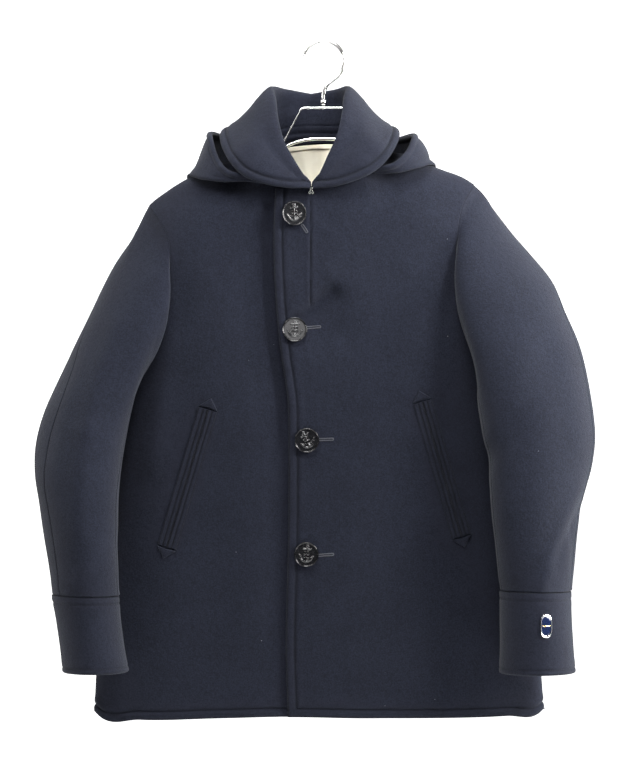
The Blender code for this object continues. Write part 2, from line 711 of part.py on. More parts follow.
def collar_neck(side, share):
    """Where the collar meets the neck seam, in the middle of the cloth."""
    face = "front" if share < 0.62 else "back"
    along = 1 - share / 0.62 if face == "front" else (share - 0.62) / 0.38
    x, z = neck_point(face, side, along)
    if face == "front":
        surface = front_left_y if side == "left" else front_right_y
        wall_here = FACED if side == "right" and x < 5 else CLOTH
        normal = normals(surface, np.array([x]), np.array([z]), -1)[0]
    else:
        surface, wall_here = back_y, CLOTH
        normal = normals(surface, np.array([x]), np.array([z]), 1)[0]
    point = np.array([x, surface(np.array([x]), np.array([z]))[0], z])
    return point - normal * wall_here / 2


def collar_section(side, share):
    middle, lean, ru, ry, rz, eu, ey, ez = curve(COLLAR)(float(share))
    hand = -1 if side == "left" else 1
    seam = collar_neck(side, share)
    roll = np.array([middle + hand * ru, ry, rz + lean * hand * ru])
    edge = np.array([middle + hand * eu, ey, ez + lean * hand * eu])
    seam = seam + (roll - seam) / np.linalg.norm(roll - seam) * 0.2 + np.array([0, 0, 2.8])
    return folded(seam, roll, edge, 0.3, 1.5, 5.0 * min(1, share * 3), 3)


def make_collar():
    half = np.array([0, 0.05, 0.12, 0.2, 0.28, 0.36, 0.44, 0.52, 0.6, 0.68, 0.76, 0.84, 0.92, 1])
    sections = [collar_section("left", s) for s in half]
    sections += [collar_section("right", s) for s in half[::-1][1:]]
    middle = np.array(sections)
    normal = grid_normals(middle)
    taper = np.concatenate([half, half[::-1][1:]])
    thick = (3.0 + (COLLAR_WALL - 3.0) * step_up(taper / 0.15))[:, None, None]
    wall("collar", middle + normal * thick / 2, middle - normal * thick / 2, wool())


def hood_section(side, share):
    row = curve(HOOD)(float(share))
    hand = -1 if side == "left" else 1
    seam, fold, rim = (
        np.array([NECK_MIDDLE + hand * u, y, z + lean * hand * u])
        for u, y, z, lean in (
            (*row[0:3], NECK_LEAN), (*row[3:6], row[10]), (*row[6:9], row[11])
        )
    )
    return folded(seam, fold, rim, 0.22, -row[9] * 0.4, row[9], 4)


def make_hood(side, tree):
    places = np.linspace(0, 1, 13)
    middle = np.array([hood_section(side, s) for s in places])
    margin = 4.0 + 4.0 * np.exp(-((middle[..., 1] / 25) ** 2))
    middle = keep_clear(middle, tree, margin)
    normal = grid_normals(middle)
    hand = -1 if side == "left" else 1
    middle[-1, :, 0] = np.where(hand > 0, np.maximum(middle[-1, :, 0], NECK_MIDDLE),
                                np.minimum(middle[-1, :, 0], NECK_MIDDLE)) + hand * SEAM
    normal[-1, :, 0] = 0
    wall(f"hood_{side}", middle + normal * CLOTH / 2, middle - normal * CLOTH / 2, wool())


def make_back_lining():
    """A pale lining inside the upper back, from the neck seam down."""
    across = np.linspace(-1, 1, 13)
    outer, inner = [], []
    for below, half in LINING:
        x = NECK_MIDDLE + across * half
        share = np.interp(np.abs(across) * LINING[0][1], (0, 22, 51, 76), (1, 0.8, 0.5, 0.2))
        z = neck["back"](share)[..., 1] + NECK_LEAN * across * half - below
        point = np.stack([x, back_y(x, z), z], -1)
        normal = normals(back_y, x, z, 1)
        outer.append(point - normal * (CLOTH + 2.3))
        inner.append(point - normal * (CLOTH + 3.5))
    wall("back_lining", np.array(outer), np.array(inner), lining_cloth())


def on_front(tree, x, z, off):
    """The front's own facet at (x, z), moved forward by off."""
    spot = tree.ray_cast(Vector((x, -400, z)), Vector((0, 1, 0)))[0]
    return np.array([x, spot.y - off, z])


def make_pocket(side, tree):
    (tx, tz), (bx, bz) = POCKETS[side]
    top, bottom = np.array([tx, tz]), np.array([bx, bz])
    down = (bottom - top) / np.linalg.norm(bottom - top)
    beside = np.array([-down[1], down[0]])
    length = np.linalg.norm(bottom - top)
    for name, hand in (("front", -1 if side == "right" else 1), ("side", 1 if side == "right" else -1)):
        rows = []
        for t in np.linspace(1.2, length - 1.2, 8):
            row = []
            for across in (WELT_GAP / 2, WELT_GAP / 2 + WELT_WIDE / 2, WELT_GAP / 2 + WELT_WIDE):
                x, z = top + down * t + beside * hand * across * (1 if side == "left" else -1)
                row.append(on_front(tree, x, z, RESTS + 0.3))
            rows.append(row)
        under = np.array(rows)
        over = under.copy()
        over[:, :, 1] -= np.array([WELT_THICK, WELT_THICK + 0.6, WELT_THICK - 0.6])
        wall(f"welt_{name}_{side}", over, under, wool())
    for name, end, way in (("upper", top, -1), ("lower", bottom, 1)):
        corners = [
            end + beside * TAB_WIDE / 2,
            end + down * way * TAB_HIGH,
            end - beside * TAB_WIDE / 2,
            end + down * way * TAB_HIGH * 0.28,
        ]
        centre = sum(corners) / 4
        outline = []
        for a, b in zip(corners, corners[1:] + corners[:1]):
            outline += [a, (a + b) / 2]
        under = [on_front(tree, *p, RESTS + 0.3) for p in outline + [centre]]
        over = [p - np.array([0, TAB_THICK, 0]) for p in under]
        over[-1] = over[-1] - np.array([0, 0.5, 0])
        count = len(outline)
        faces = []
        for k in range(count):
            n = (k + 1) % count
            faces += [(k, n, count), (count + 1 + n, count + 1 + k, 2 * count + 1),
                      (n, k, count + 1 + k, count + 1 + n)]
        add_mesh(f"tab_{name}_{side}", under + over, faces, wool(), smooth=False)


def turned(outline, segments):
    """A closed turned shape about Z from (radius, height) pairs that start and end on the axis."""
    points = [(0, 0, outline[0][1])]
    for radius, height in outline[1:-1]:
        for k in range(segments):
            angle = 2 * math.pi * k / segments
            points.append((radius * math.cos(angle), radius * math.sin(angle), height))
    points.append((0, 0, outline[-1][1]))
    faces = []
    last = len(points) - 1
    for k in range(segments):
        n = (k + 1) % segments
        faces.append((0, 1 + n, 1 + k))
        for ring in range(len(outline) - 3):
            a = 1 + ring * segments
            faces.append((a + k, a + n, a + segments + n, a + segments + k))
        a = 1 + (len(outline) - 3) * segments
        faces.append((a + k, a + n, last))
    return np.array(points), faces


def make_buttons(tree):
    points, faces = turned(BUTTON_OUTLINE, 20)
    for number, (x, z, turn) in enumerate(BUTTONS, 1):
        facing = np.stack([points[:, 0], -points[:, 2], points[:, 1]], -1)
        swing = math.radians(turn)
        spun = facing.copy()
        spun[:, 0] = facing[:, 0] * math.cos(swing) - facing[:, 1] * math.sin(swing)
        spun[:, 1] = facing[:, 0] * math.sin(swing) + facing[:, 1] * math.cos(swing)
        spun[:, [0, 2]] += (x, z)
        seat = min(
            on_front(tree, px, pz, 0)[1] - py for px, py, pz in spun if py > -2.5
        )
        spun[:, 1] += seat - RESTS
        add_mesh(f"button_{number}", spun, faces, button_plastic())


def wire(name, path, radius, look, sides=8):
    """A round wire along points in millimetres, with closed ends."""
    path = np.array(path, float)
    way = np.gradient(path, axis=0)
    way /= np.linalg.norm(way, axis=1, keepdims=True)
    across = np.cross(way, (0, 1, 0))
    across /= np.linalg.norm(across, axis=1, keepdims=True)
    other = np.cross(way, across)
    angle = 2 * math.pi * np.arange(sides) / sides
    ring = np.cos(angle)[:, None] * across[:, None] + np.sin(angle)[:, None] * other[:, None]
    points = (path[:, None] + ring * radius).reshape(-1, 3)
    last = len(points) - sides
    faces = [tuple(range(sides))[::-1], tuple(last + k for k in range(sides))]
    for i in range(len(path) - 1):
        for k in range(sides):
            a, b = i * sides + k, i * sides + (k + 1) % sides
            faces.append((a, b, b + sides, a + sides))
    return add_mesh(name, points, faces, look)


def make_neck_hook(tree):
    """A bent wire hook on the over front that catches a wire eye."""
    x, z = NECK_MIDDLE - 0.5, -196.5
    face = on_front(tree, x, z, 0)[1]
    eye = []
    for k in range(17):
        angle = math.radians(-60 + 300 * k / 16)
        eye.append((x + 2.6 * math.sin(angle), face - 1.1, z + 4.2 - 2.6 * math.cos(angle)))
    wire("neck_eye", eye, 0.55, steel())
    hook = [(x - 0.9, face - 1.15, z - 4.4), (x - 0.9, face - 1.2, z - 1.5),
            (x - 0.2, face - 2.2, z + 0.6), (x, face - 3.2, z + 2.4), (x, face - 3.9, z + 2.6),
            (x, face - 4.6, z + 1.8), (x, face - 4.7, z + 0.4)]
    wire("neck_hook", hook, 0.6, steel())


def make_cuff_pin(tree):
    """A small plain oval pin, standing for the one in its place."""
    x0, z0 = PIN
    half_x, half_z = PIN_WIDE / 2, PIN_HIGH / 2
    count = 28
    rim = [(x0 + half_x * math.copysign(abs(math.cos(a)) ** 0.7, math.cos(a)),
            z0 + half_z * math.copysign(abs(math.sin(a)) ** 0.7, math.sin(a)))
           for a in (2 * math.pi * k / count for k in range(count))]
    hits = [tree.ray_cast(Vector((x, -400, z)), Vector((0, 1, 0)))[0].y for x, z in rim]
    spot, normal, _, _ = tree.ray_cast(Vector((x0, -400, z0)), Vector((0, 1, 0)))
    slope_x, slope_z = -normal.x / normal.y, -normal.z / normal.y
    plane = [slope_x * (x - x0) + slope_z * (z - z0) for x, z in rim]
    seat = min(hit - flat for hit, flat in zip(hits + [spot.y], plane + [0.0])) - RESTS
    points, faces = [], []
    for thick, shrink in ((0, 1), (1.2, 1), (1.8, 0.9)):
        for x, z in rim:
            px, pz = x0 + (x - x0) * shrink, z0 + (z - z0) * shrink
            points.append((px, seat + slope_x * (px - x0) + slope_z * (pz - z0) - thick, pz))
    for layer in range(2):
        for k in range(count):
            n = (k + 1) % count
            a = layer * count
            faces.append((a + k, a + n, a + count + n, a + count + k))
    faces.append(tuple(range(count))[::-1])
    faces.append(tuple(2 * count + k for k in range(count)))
    add_mesh("cuff_pin", points, faces, enamel())


def make_hook():
    """The hanger's hook: most of a circle, then an S into the shank."""
    middle_z = -HOOK_RADIUS + HOOK_WIRE / 2
    path = []
    for k in range(23):
        angle = math.radians(160 - 212 * k / 22)
        path.append((HOOK_RADIUS * math.cos(angle), 0, middle_z + HOOK_RADIUS * math.sin(angle)))
    last = path[-1]
    for t, x in ((0.25, 10.5), (0.5, 5.4), (0.75, 2.6), (1, 1.2)):
        path.append((x, 0, last[2] - 18 * t))
    path.append((0, 0, -72.0))
    path.append((0, 0, -74.6))
    wire("hanger_hook", path, HOOK_WIRE / 2, steel(), sides=10)
    outline = ((0, -85.0), (3.8, -85.0), (4.2, -84.2), (4.2, -78.5), (3.0, -75.2), (0, -75.2))
    points, faces = turned(outline, 16)
    add_mesh("hanger_ferrule", points, faces, steel())


def strip(name, path, thick, deep):
    """A flat strip along (x, z) points, set on edge across the coat."""
    path = np.array(path, float)
    way = np.gradient(path, axis=0)
    way /= np.linalg.norm(way, axis=1, keepdims=True)
    up = np.stack([-way[:, 1], way[:, 0]], -1) * thick / 2
    points = []
    for (x, z), (ux, uz) in zip(path, up):
        for y, side in ((-deep / 2, 1), (deep / 2, 1), (deep / 2, -1), (-deep / 2, -1)):
            points.append((x + ux * side, y, z + uz * side))
    faces = [(0, 1, 2, 3), tuple(len(points) - 4 + k for k in (3, 2, 1, 0))]
    for k in range(len(path) - 1):
        for j in range(4):
            n = (j + 1) % 4
            faces.append((4 * k + j, 4 * k + 4 + j, 4 * k + 4 + n, 4 * k + n))
    add_mesh(name, points, faces, steel(), smooth=False)


def make_hanger():
    make_hook()
    strip("hanger_bracket", BRACKET, BRACKET_THICK, BRACKET_DEEP)
    arm = curve(ARM)
    for side, hand in (("left", -1), ("right", 1)):
        x = np.linspace(0.15, ARM[-1][0], 14)
        z = arm(x)[..., 0]
        strip(f"hanger_arm_{side}", np.stack([hand * x, z], -1), ARM_THICK, ARM_DEEP)


def clear_scene():
    for obj in list(bpy.data.objects):
        bpy.data.objects.remove(obj, do_unlink=True)


def main():
    clear_scene()
    pieces = outer_body()
    tree = body_tree(pieces)
    make_body(pieces)
    for side in ("left", "right"):
        make_sleeve(side)
        make_cuff(side, tree)
        make_hood(side, tree)
    make_collar()
    make_back_lining()
    fronts = {
        side: body_tree({side: pieces["front_" + side]}) for side in ("left", "right")
    }
    for side in ("left", "right"):
        make_pocket(side, fronts[side])
    make_buttons(fronts["right"])
    make_neck_hook(fronts["right"])
    cuff = bpy.data.objects["cuff_right"]
    make_cuff_pin(BVHTree.FromPolygons(
        [v.co / MM for v in cuff.data.vertices], [tuple(p.vertices) for p in cuff.data.polygons]))
    make_hanger()


main()
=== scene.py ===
"""Looks of the hooded coat on its hanger: finer cloth, seams, stitching, buttons and metal.

Tables and sizes are in millimetres, as in the CAD, and MM turns them into Blender's metres.
Left and right are the viewer's.
"""

import math

import bpy
import numpy as np
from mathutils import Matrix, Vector
from mathutils.bvhtree import BVHTree


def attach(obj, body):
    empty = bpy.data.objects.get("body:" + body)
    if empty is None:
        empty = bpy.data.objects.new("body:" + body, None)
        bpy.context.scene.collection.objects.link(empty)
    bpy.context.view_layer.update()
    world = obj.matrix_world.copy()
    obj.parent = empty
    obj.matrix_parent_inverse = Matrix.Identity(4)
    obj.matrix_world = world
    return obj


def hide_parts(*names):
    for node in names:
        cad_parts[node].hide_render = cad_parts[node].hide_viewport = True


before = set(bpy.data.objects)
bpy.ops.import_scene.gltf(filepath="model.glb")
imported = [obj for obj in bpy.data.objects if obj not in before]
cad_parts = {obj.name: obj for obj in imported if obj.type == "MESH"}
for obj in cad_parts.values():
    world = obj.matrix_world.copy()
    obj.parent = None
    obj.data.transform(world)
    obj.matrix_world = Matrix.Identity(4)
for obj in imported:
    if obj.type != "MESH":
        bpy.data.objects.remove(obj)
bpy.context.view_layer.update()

MM = 0.001

CLOTH = 3.0  # felted wool
FACED = 5.4  # wool with its facing or turned hem behind it
SEAM = 0.15  # each side of a seam keeps this far from it
HAND = {"left": -1, "right": 1}  # the way across that leads away from the coat's middle

SQUARE = 2.35  # how squarely the body turns its sides
SHOULDER_ROUND = 90.0  # the shoulder reaches its full depth this far below its ridge
SIDE_CORE = 48.0  # the sleeves part round a point this far inside the side seam
HEM_TURN = 30.0  # height of the turned hem
FACING = 75.0  # width of the facing behind the over front's edge
UNDERLAP = 70.0  # how far the under front runs on behind the over front's edge
SINK = 3.4  # the under front sinks this far below the over front's edge
LIFT = 2.9  # and the over front is lifted this far by it

NECK_MIDDLE = -15.5  # the coat hangs a little to the left of its hook
NECK_LEAN = 0.07  # and its right shoulder is higher

# height, left side, right side, depth of the front, depth of the back
BODY = (
    (-890, -301, 290, 33, 27),
    (-800, -296, 283, 38, 31),
    (-680, -284, 268, 45, 38),
    (-560, -271, 253, 51, 45),
    (-470, -263, 243, 56, 49),
    (-400, -258, 236, 58, 51),
    (-330, -252, 229, 57, 52),
    (-260, -245, 217, 55, 51),
    (-190, -240, 208, 53, 50),
    (-120, -238, 205, 50, 48),
)
# across, height of the shoulder ridge. Between the neck points it arches over the open neck.
SHOULDER = (
    (-300, -345), (-262, -268), (-241, -228), (-229, -214), (-205, -195), (-183, -181),
    (-140, -163), (-98, -147), (-84, -122), (-60, -96), (-16, -78), (28, -92), (53, -112),
    (67, -135), (110, -151), (156, -167), (188, -180), (198, -187), (210, -201), (230, -240),
    (290, -340),
)
# across, height of the hem
HEM = ((-301, -876), (-294, -882), (-240, -885.5), (-140, -883), (-50, -881), (60, -882.5),
       (240, -880.5), (283, -878), (290, -872.5))
# height, the over front's edge
FRONT_EDGE = (
    (-890, -46), (-796, -49), (-652, -46), (-534, -45.5), (-468, -46.5), (-409, -55),
    (-337, -62), (-259, -65), (-184, -62),
)
# share of the way from the shoulder point down to the underarm, across, height
ARMHOLE = {
    "left": ((0, -229, -214), (0.1, -215.5, -232.5), (0.22, -204.4, -252), (0.34, -200, -272),
             (0.48, -200, -298), (0.62, -203, -323), (0.74, -210, -353), (0.86, -226, -385),
             (0.94, -243, -403), (1, -259.3, -412)),
    "right": ((0, 198, -187), (0.1, 186, -206), (0.22, 178, -229), (0.34, 174, -256),
              (0.48, 172.5, -284), (0.62, 174.5, -313), (0.74, 181, -344), (0.86, 196, -371),
              (0.94, 214, -385), (1, 235, -392)),
}
# share of the way from the neck point to the centre, half width, height of the neck seam
NECK_FRONT = ((0, 83, -141), (0.15, 81, -153), (0.35, 71, -169), (0.6, 50, -182),
              (0.8, 26, -190), (1, 0, -193))
NECK_BACK = ((0, 83, -141), (0.2, 76, -136.5), (0.5, 51, -130), (0.8, 22, -127), (1, 0, -126.5))

NECK_LEVEL = -190.0  # the height at which a front's own edge meets the neck seam

# Broad, shallow folds: face, across, height, half width, half height, how far it stands out
FOLDS = (
    ("front", 6, -352, 34, 30, -4.0),
    ("front", 62, -345, 50, 46, 3.0),
    ("front", -112, -300, 26, 90, -3.0),
    ("front", -168, -330, 26, 95, 3.0),
    ("front", 118, -300, 40, 95, 2.5),
    ("front", -205, -640, 34, 160, 2.5),
    ("front", -130, -760, 34, 120, -2.5),
    ("front", 70, -740, 45, 130, 2.5),
    ("front", 160, -700, 34, 150, -2.5),
    ("front", 225, -760, 28, 130, 3.0),
    ("back", -120, -640, 45, 210, 4.5),
    ("back", -10, -700, 40, 190, -3.5),
    ("back", 110, -640, 45, 210, 4.5),
    ("back", 200, -760, 30, 120, -3.0),
    ("back", -215, -760, 30, 120, -3.0),
)

# ring, outer across, outer height, inner across, inner height, middle y, half depth,
# how far the inner side comes forward, bow towards the body
SLEEVE = {
    "left": (
        (0, -229, -214, -259, -412, 0, 44, 0, 44),
        (1, -240, -233, -240, -430, -1, 52, 14, 40),
        (2, -257, -261, -242, -450, -3, 58, 22, 34),
        (3, -277.5, -298.5, -246, -472, -8, 62, 26, 26),
        (4, -301, -344.5, -251, -496, -14, 64, 25, 18),
        (5, -324, -390, -255, -519.5, -22, 65, 24, 10),
        (6, -346.5, -439, -259, -544.5, -32, 65, 24, 4),
        (7, -365, -483.5, -262, -570, -42, 64, 24, 0),
        (8, -374, -526, -264, -597, -51, 63, 22, 0),
        (9, -374, -565.5, -265, -625.5, -58, 61, 18, 0),
        (10, -367.5, -603.5, -266.5, -655, -63, 59, 14, 0),
        (11, -360.5, -649, -265, -683.5, -67, 57, 10, 0),
        (12, -354, -694, -264, -710.5, -70, 55, 6, 0),
        (13, -351, -718.5, -263, -719.5, -71, 54, 4, 0),
        (14, -345, -752, -260.5, -754, -72, 53, 2, 0),
        (15, -339.5, -790, -256, -790, -73, 53, 0, 0),
        (16, -336.5, -818.5, -251, -817.5, -74, 54, 0, 0),
    ),
    "right": (
        (0, 198, -187, 235, -392, 0, 46, 0, 46),
        (1, 209, -197, 214, -408, -2, 54, 16, 42),
        (2, 225.5, -218.5, 204, -428, -6, 60, 28, 36),
        (3, 247.5, -247.5, 199, -450, -12, 64, 36, 26),
        (4, 274.5, -279, 198, -473, -20, 67, 40, 16),
        (5, 302.5, -313.5, 201, -496.5, -30, 68, 40, 8),
        (6, 318.5, -357.5, 205, -519.5, -40, 68, 37, 2),
        (7, 334, -400.5, 212, -542, -48, 67, 30, 0),
        (8, 345, -452.5, 213, -569.5, -56, 66, 28, 0),
        (9, 352.5, -509, 215, -598, -63, 64, 24, 0),
        (10, 348, -553.5, 217, -623, -69, 62, 20, 0),
        (11, 336, -593.5, 220, -648.5, -73, 60, 15, 0),
        (12, 327.5, -636.5, 222.5, -675, -75, 58, 10, 0),
        (13, 322.5, -686, 225, -698.5, -76, 56, 6, 0),
        (14, 320, -713.5, 226.5, -712.5, -77, 55, 4, 0),
        (15, 320, -751.5, 226.5, -751.5, -78, 54, 2, 0),
        (16, 322, -787, 227, -787, -79, 54, 0, 0),
        (17, 325, -818, 226, -819, -80, 55, 0, 0),
    ),
}
CUFF_RING = {"left": 13, "right": 14}
LAST_RING = {"left": 16, "right": 17}
# Where the two sleeve seams leave the armhole, and how far round the arm they are lower down
ELBOW_SEAM, ELBOW_TURN = 0.27, {"left": 0.13, "right": 0.06}
FRONT_SEAM, FRONT_TURN = 0.83, 0.46
SEAMS_SETTLE = 7.0  # the ring by which they have turned

# place along the half, middle, lean, roll: half width, y, height, edge: half width, y, height
COLLAR = (
    (0.00, -15.5, 0.00, 4, -62, -188, 9, -69, -194.5),
    (0.10, -15.8, 0.03, 13, -66, -176, 28, -71, -194),
    (0.22, -17.0, 0.04, 24, -62, -155, 56, -72, -188),
    (0.36, -18.0, 0.04, 36.5, -52, -129, 86, -70, -175),
    (0.50, -18.0, 0.03, 44, -34, -99, 107, -55, -151.5),
    (0.62, -18.0, 0.02, 47, -10, -74, 117, -27, -127),
    (0.74, -18.0, 0.01, 50, 17, -59, 111.5, 12, -115),
    (0.87, -17.5, 0.00, 34, 45, -60, 80, 66, -117),
    (1.00, -16.0, 0.00, 0, 55, -65, 0, 96, -127),
)
# place along the half, seam: half width, y, height, fold: the same, rim: the same, belly,
# lean of the fold, lean of the rim
HOOD = (
    (0.00, 62, -50, -180, 80, -57, -177, 77, -62, -171, 0, 0.050, 0.050),
    (0.14, 76, -42, -170, 110, -57, -178, 103, -63, -167, 1, 0.055, 0.050),
    (0.30, 86, -22, -160, 141, -42, -171, 121, -48, -149, 3, 0.055, 0.030),
    (0.44, 89, 0, -150, 157, -10, -167, 131, -24, -123, 5, 0.050, 0.000),
    (0.58, 84, 20, -146, 157, 34, -193, 130, 18, -116, 8, 0.040, -0.010),
    (0.72, 64, 38, -140, 132, 72, -268, 112, 78, -118, 12, 0.020, -0.010),
    (0.86, 34, 48, -136, 80, 88, -345, 68, 116, -128, 15, 0.000, 0.000),
    (1.00, 0, 52, -134, 0, 92, -384, 0, 130, -136, 16, 0.000, 0.000),
)

# pale lining of the upper back: how far below the neck seam, half width
LINING = ((3.0, 70), (14, 78), (36, 98), (70, 116), (110, 128), (160, 134))

# button: across, height, turn about its upright
BUTTONS = ((-38.6, -226.6, 16), (-37.3, -377.3, 0), (-21.6, -520.1, 0), (-22.3, -668.1, 0))
# radius, height of a button's face; how far across and up from its middle each of its holes is
BUTTON_FACE = ((0, 2.5), (13.6, 2.8), (14.6, 2.9), (15.0, 3.7), (15.3, 4.0), (15.6, 3.9), (15.9, 3.2),
               (16, 2.6))
BUTTON_HOLE = 2.1
# button: how far its anchor is turned, in degrees
BUTTON_SPIN = (4, -3, 27, -8)
TILTED_BUTTON, BUTTON_TILT = 2, 9.0  # this one looks up a little and mirrors a lamp
# buttonhole: inner end and outer end, each across and height
BUTTONHOLES = ((-27.5, -242.4, -21.6, -251), (-23, -374.7, -4.6, -373.4),
               (-5.9, -519.4, 12.0, -518.8), (-5.9, -669.4, 12.4, -668.1))

# pocket: its upper end, its lower end, each across and height
POCKETS = {"left": ((-149.6, -479.3), (-204, -660.7)), "right": ((127.7, -469.4), (179.5, -646.3))}
WELT_WIDE, WELT_THICK, WELT_GAP = 12.0, 2.2, 0.8
TAB_WIDE, TAB_HIGH, TAB_THICK = 26.0, 14.0, 2.2

HOOK_RADIUS, HOOK_WIRE = 27.0, 4.9
# radius, height of the ferrule's turned outline
FERRULE = ((0, -85.1), (2.6, -85.1), (2.8, -84.9), (2.8, -82.2), (3.0, -81.8), (3.9, -81.4), (4.1, -81.0),
           (4.1, -76.9), (3.9, -76.2), (3.4, -75.7), (2.8, -75.4), (0, -75.2))
BRACKET_DEEP, BRACKET_THICK = 18.0, 2.4
# across, height of the bracket's top bar and legs
BRACKET = ((-56.2, -138.3), (-31.5, -92), (-30, -88.6), (-27, -86.6),
           (27, -86.6), (30, -88.6), (31.5, -92), (56.2, -138.3))
ARM_DEEP, ARM_THICK = 17.0, 3.0
# across, height of the hanger's arm
ARM = ((0, -126.5), (25, -128.5), (46, -135), (62, -145.3), (98, -161.8), (150, -181), (186, -197))
ARM_STEPS = (0, 0.03, 0.08, 0.16, 0.27, 0.38, 0.5, 0.62, 0.73, 0.83, 0.91, 0.96, 0.986, 1)
UNDERARM = 0.7  # share of a side that the side seam takes
PIN = (283.0, -755.2)  # middle of the cuff's pin, across and height
PIN_WIDE, PIN_HIGH = 14.8, 30.0
# size as a share of the pin's outline, how far out of the cuff: the silver rim, then the blue field
PIN_RIM = ((0.02, 0.0), (0.96, 0.0), (1.0, 0.3), (1.0, 1.3), (0.97, 1.75), (0.9, 1.9), (0.85, 1.7),
           (0.83, 1.3), (0.02, 1.3))
PIN_FIELD = ((0.02, 1.28), (0.825, 1.28), (0.82, 1.42), (0.6, 1.6), (0.3, 1.7), (0.02, 1.72))


def curve(rows):
    """Turns a table into a function: its first column in, the others out, on a smooth line."""
    table = np.array(rows, float)
    key, values = table[:, 0], table[:, 1:]
    slope = np.gradient(values, key, axis=0)

    def at(place):
        place = np.asarray(place, float)
        k = np.clip(np.searchsorted(key, place, side="right") - 1, 0, len(key) - 2)
        span = (key[k + 1] - key[k])[..., None]
        t = np.clip((place - key[k])[..., None] / span, 0, 1)
        rise = t * t * (3 - 2 * t)
        leave = t * (1 - t) ** 2 * span * slope[k]
        arrive = t * t * (t - 1) * span * slope[k + 1]
        return values[k] * (1 - rise) + values[k + 1] * rise + leave + arrive

    return at


def unit(vectors):
    """Vectors made one long."""
    return vectors / np.maximum(np.linalg.norm(vectors, axis=-1, keepdims=True), 1e-9)


def step_up(x):
    """0 below 0, 1 above 1 and smooth between."""
    x = np.clip(x, 0, 1)
    return x * x * (3 - 2 * x)


body_level = curve(BODY)
shoulder_height = curve(SHOULDER)
hem_height = curve(HEM)
front_edge = curve(FRONT_EDGE)
armhole = {side: curve(rows) for side, rows in ARMHOLE.items()}
neck = {"front": curve(NECK_FRONT), "back": curve(NECK_BACK)}


def edge_x(z):
    return front_edge(z)[..., 0]


def depth(x, z, face):
    """How far the cloth stands from the coat's mid plane, y = 0."""
    level = body_level(z)
    left, right = level[..., 0], level[..., 1]
    full = level[..., 2 if face == "front" else 3]
    across = np.clip(np.abs(2 * x - left - right) / (right - left), 0, 1)
    below = np.clip((shoulder_height(x)[..., 0] - z) / SHOULDER_ROUND, 0, 1)
    side = (1 - across**SQUARE) ** (1 / SQUARE)
    ridge = np.sqrt(1 - (1 - below) ** 2)
    folds = sum(
        out * np.exp(-(((x - fx) / wide) ** 2) - ((z - fz) / high) ** 2)
        for where, fx, fz, wide, high, out in FOLDS
        if where == face
    )
    return (full + folds) * side * ridge


def back_y(x, z):
    return SEAM + depth(x, z, "back")


def front_left_y(x, z):
    """The under front: it sinks where the over front's edge presses on it."""
    sunk = SINK * step_up((x - edge_x(z) + 60) / 50)
    return -SEAM - np.maximum(depth(x, z, "front") - sunk, 0)


def front_right_y(x, z):
    """The over front: the under front lifts it as far as it runs."""
    lifted = LIFT * (1 - step_up((x - edge_x(z) - UNDERLAP - 8) / 60))
    return -SEAM - depth(x, z, "front") - lifted


def normals(surface, x, z, outward):
    """Unit normals of the surface y(x, z), on the side that outward, -1 or 1, gives."""
    reach = 0.6
    along_x = (surface(x + reach, z) - surface(x - reach, z)) / (2 * reach)
    along_z = (surface(x, z + reach) - surface(x, z - reach)) / (2 * reach)
    return unit(np.stack([-along_x, np.ones_like(along_x), -along_z], -1) * outward)


def neck_point(face, side, share):
    """A point of the neck seam, across and height; share runs from the neck point to the centre."""
    half, z = np.moveaxis(neck[face](share), -1, 0)
    hand = HAND[side]
    return np.stack([NECK_MIDDLE + hand * half, z + NECK_LEAN * hand * half], -1)


def shoulder_seam(side, share):
    """From the shoulder point to the neck point, on the ridge."""
    start = armhole[side](0.0)[0]
    end = neck_point("front", side, 0.0)[0]
    x = start + (end - start) * np.asarray(share, float)
    return np.stack([x, shoulder_height(x)[..., 0]], -1)


def side_line(side, up):
    """The side seam from the hem to the underarm, then the armhole to the shoulder point."""
    column = 0 if side == "left" else 1
    hem_z = HEM[0 if side == "left" else -1][1]
    arm_z = armhole[side](1.0)[1]
    z = hem_z + (arm_z - hem_z) * np.clip(up / UNDERARM, 0, 1)
    seam = np.stack([body_level(z)[..., column], z], -1)
    hole = armhole[side](np.clip((1 - up) / (1 - UNDERARM), 0, 1))
    return np.where((up < UNDERARM)[:, None], seam, hole)


def front_top(side, across):
    """The shoulder seam, then the neck seam on to the front's own edge."""
    seam = shoulder_seam(side, np.clip(across / 0.5, 0, 1))
    share = np.clip((across - 0.5) / 0.5, 0, 1)
    last = edge_x(NECK_LEVEL) + (UNDERLAP if side == "left" else 0)
    overrun = abs(last - NECK_MIDDLE) / (NECK_FRONT[0][1] + abs(last - NECK_MIDDLE))
    to_centre = np.clip(share / (1 - overrun), 0, 1)
    neckline = neck_point("front", side, to_centre)
    past = np.clip((share - 1 + overrun) / overrun, 0, 1)
    neckline = neckline + np.stack([past * (last - NECK_MIDDLE), -1.5 * past], -1)
    return np.where((across <= 0.5)[:, None], seam, neckline)


def coons(side, centre, hem, top, across, up):
    """Fills four edges with a grid of (x, z), a row for each up and a column for each across."""
    s, v = across[None, :, None], up[:, None, None]
    edges = (1 - s) * side[:, None] + s * centre[:, None] + (1 - v) * hem[None] + v * top[None]
    corners = (1 - s) * ((1 - v) * side[0] + v * side[-1]) + s * (
        (1 - v) * centre[0] + v * centre[-1]
    )
    return edges - corners


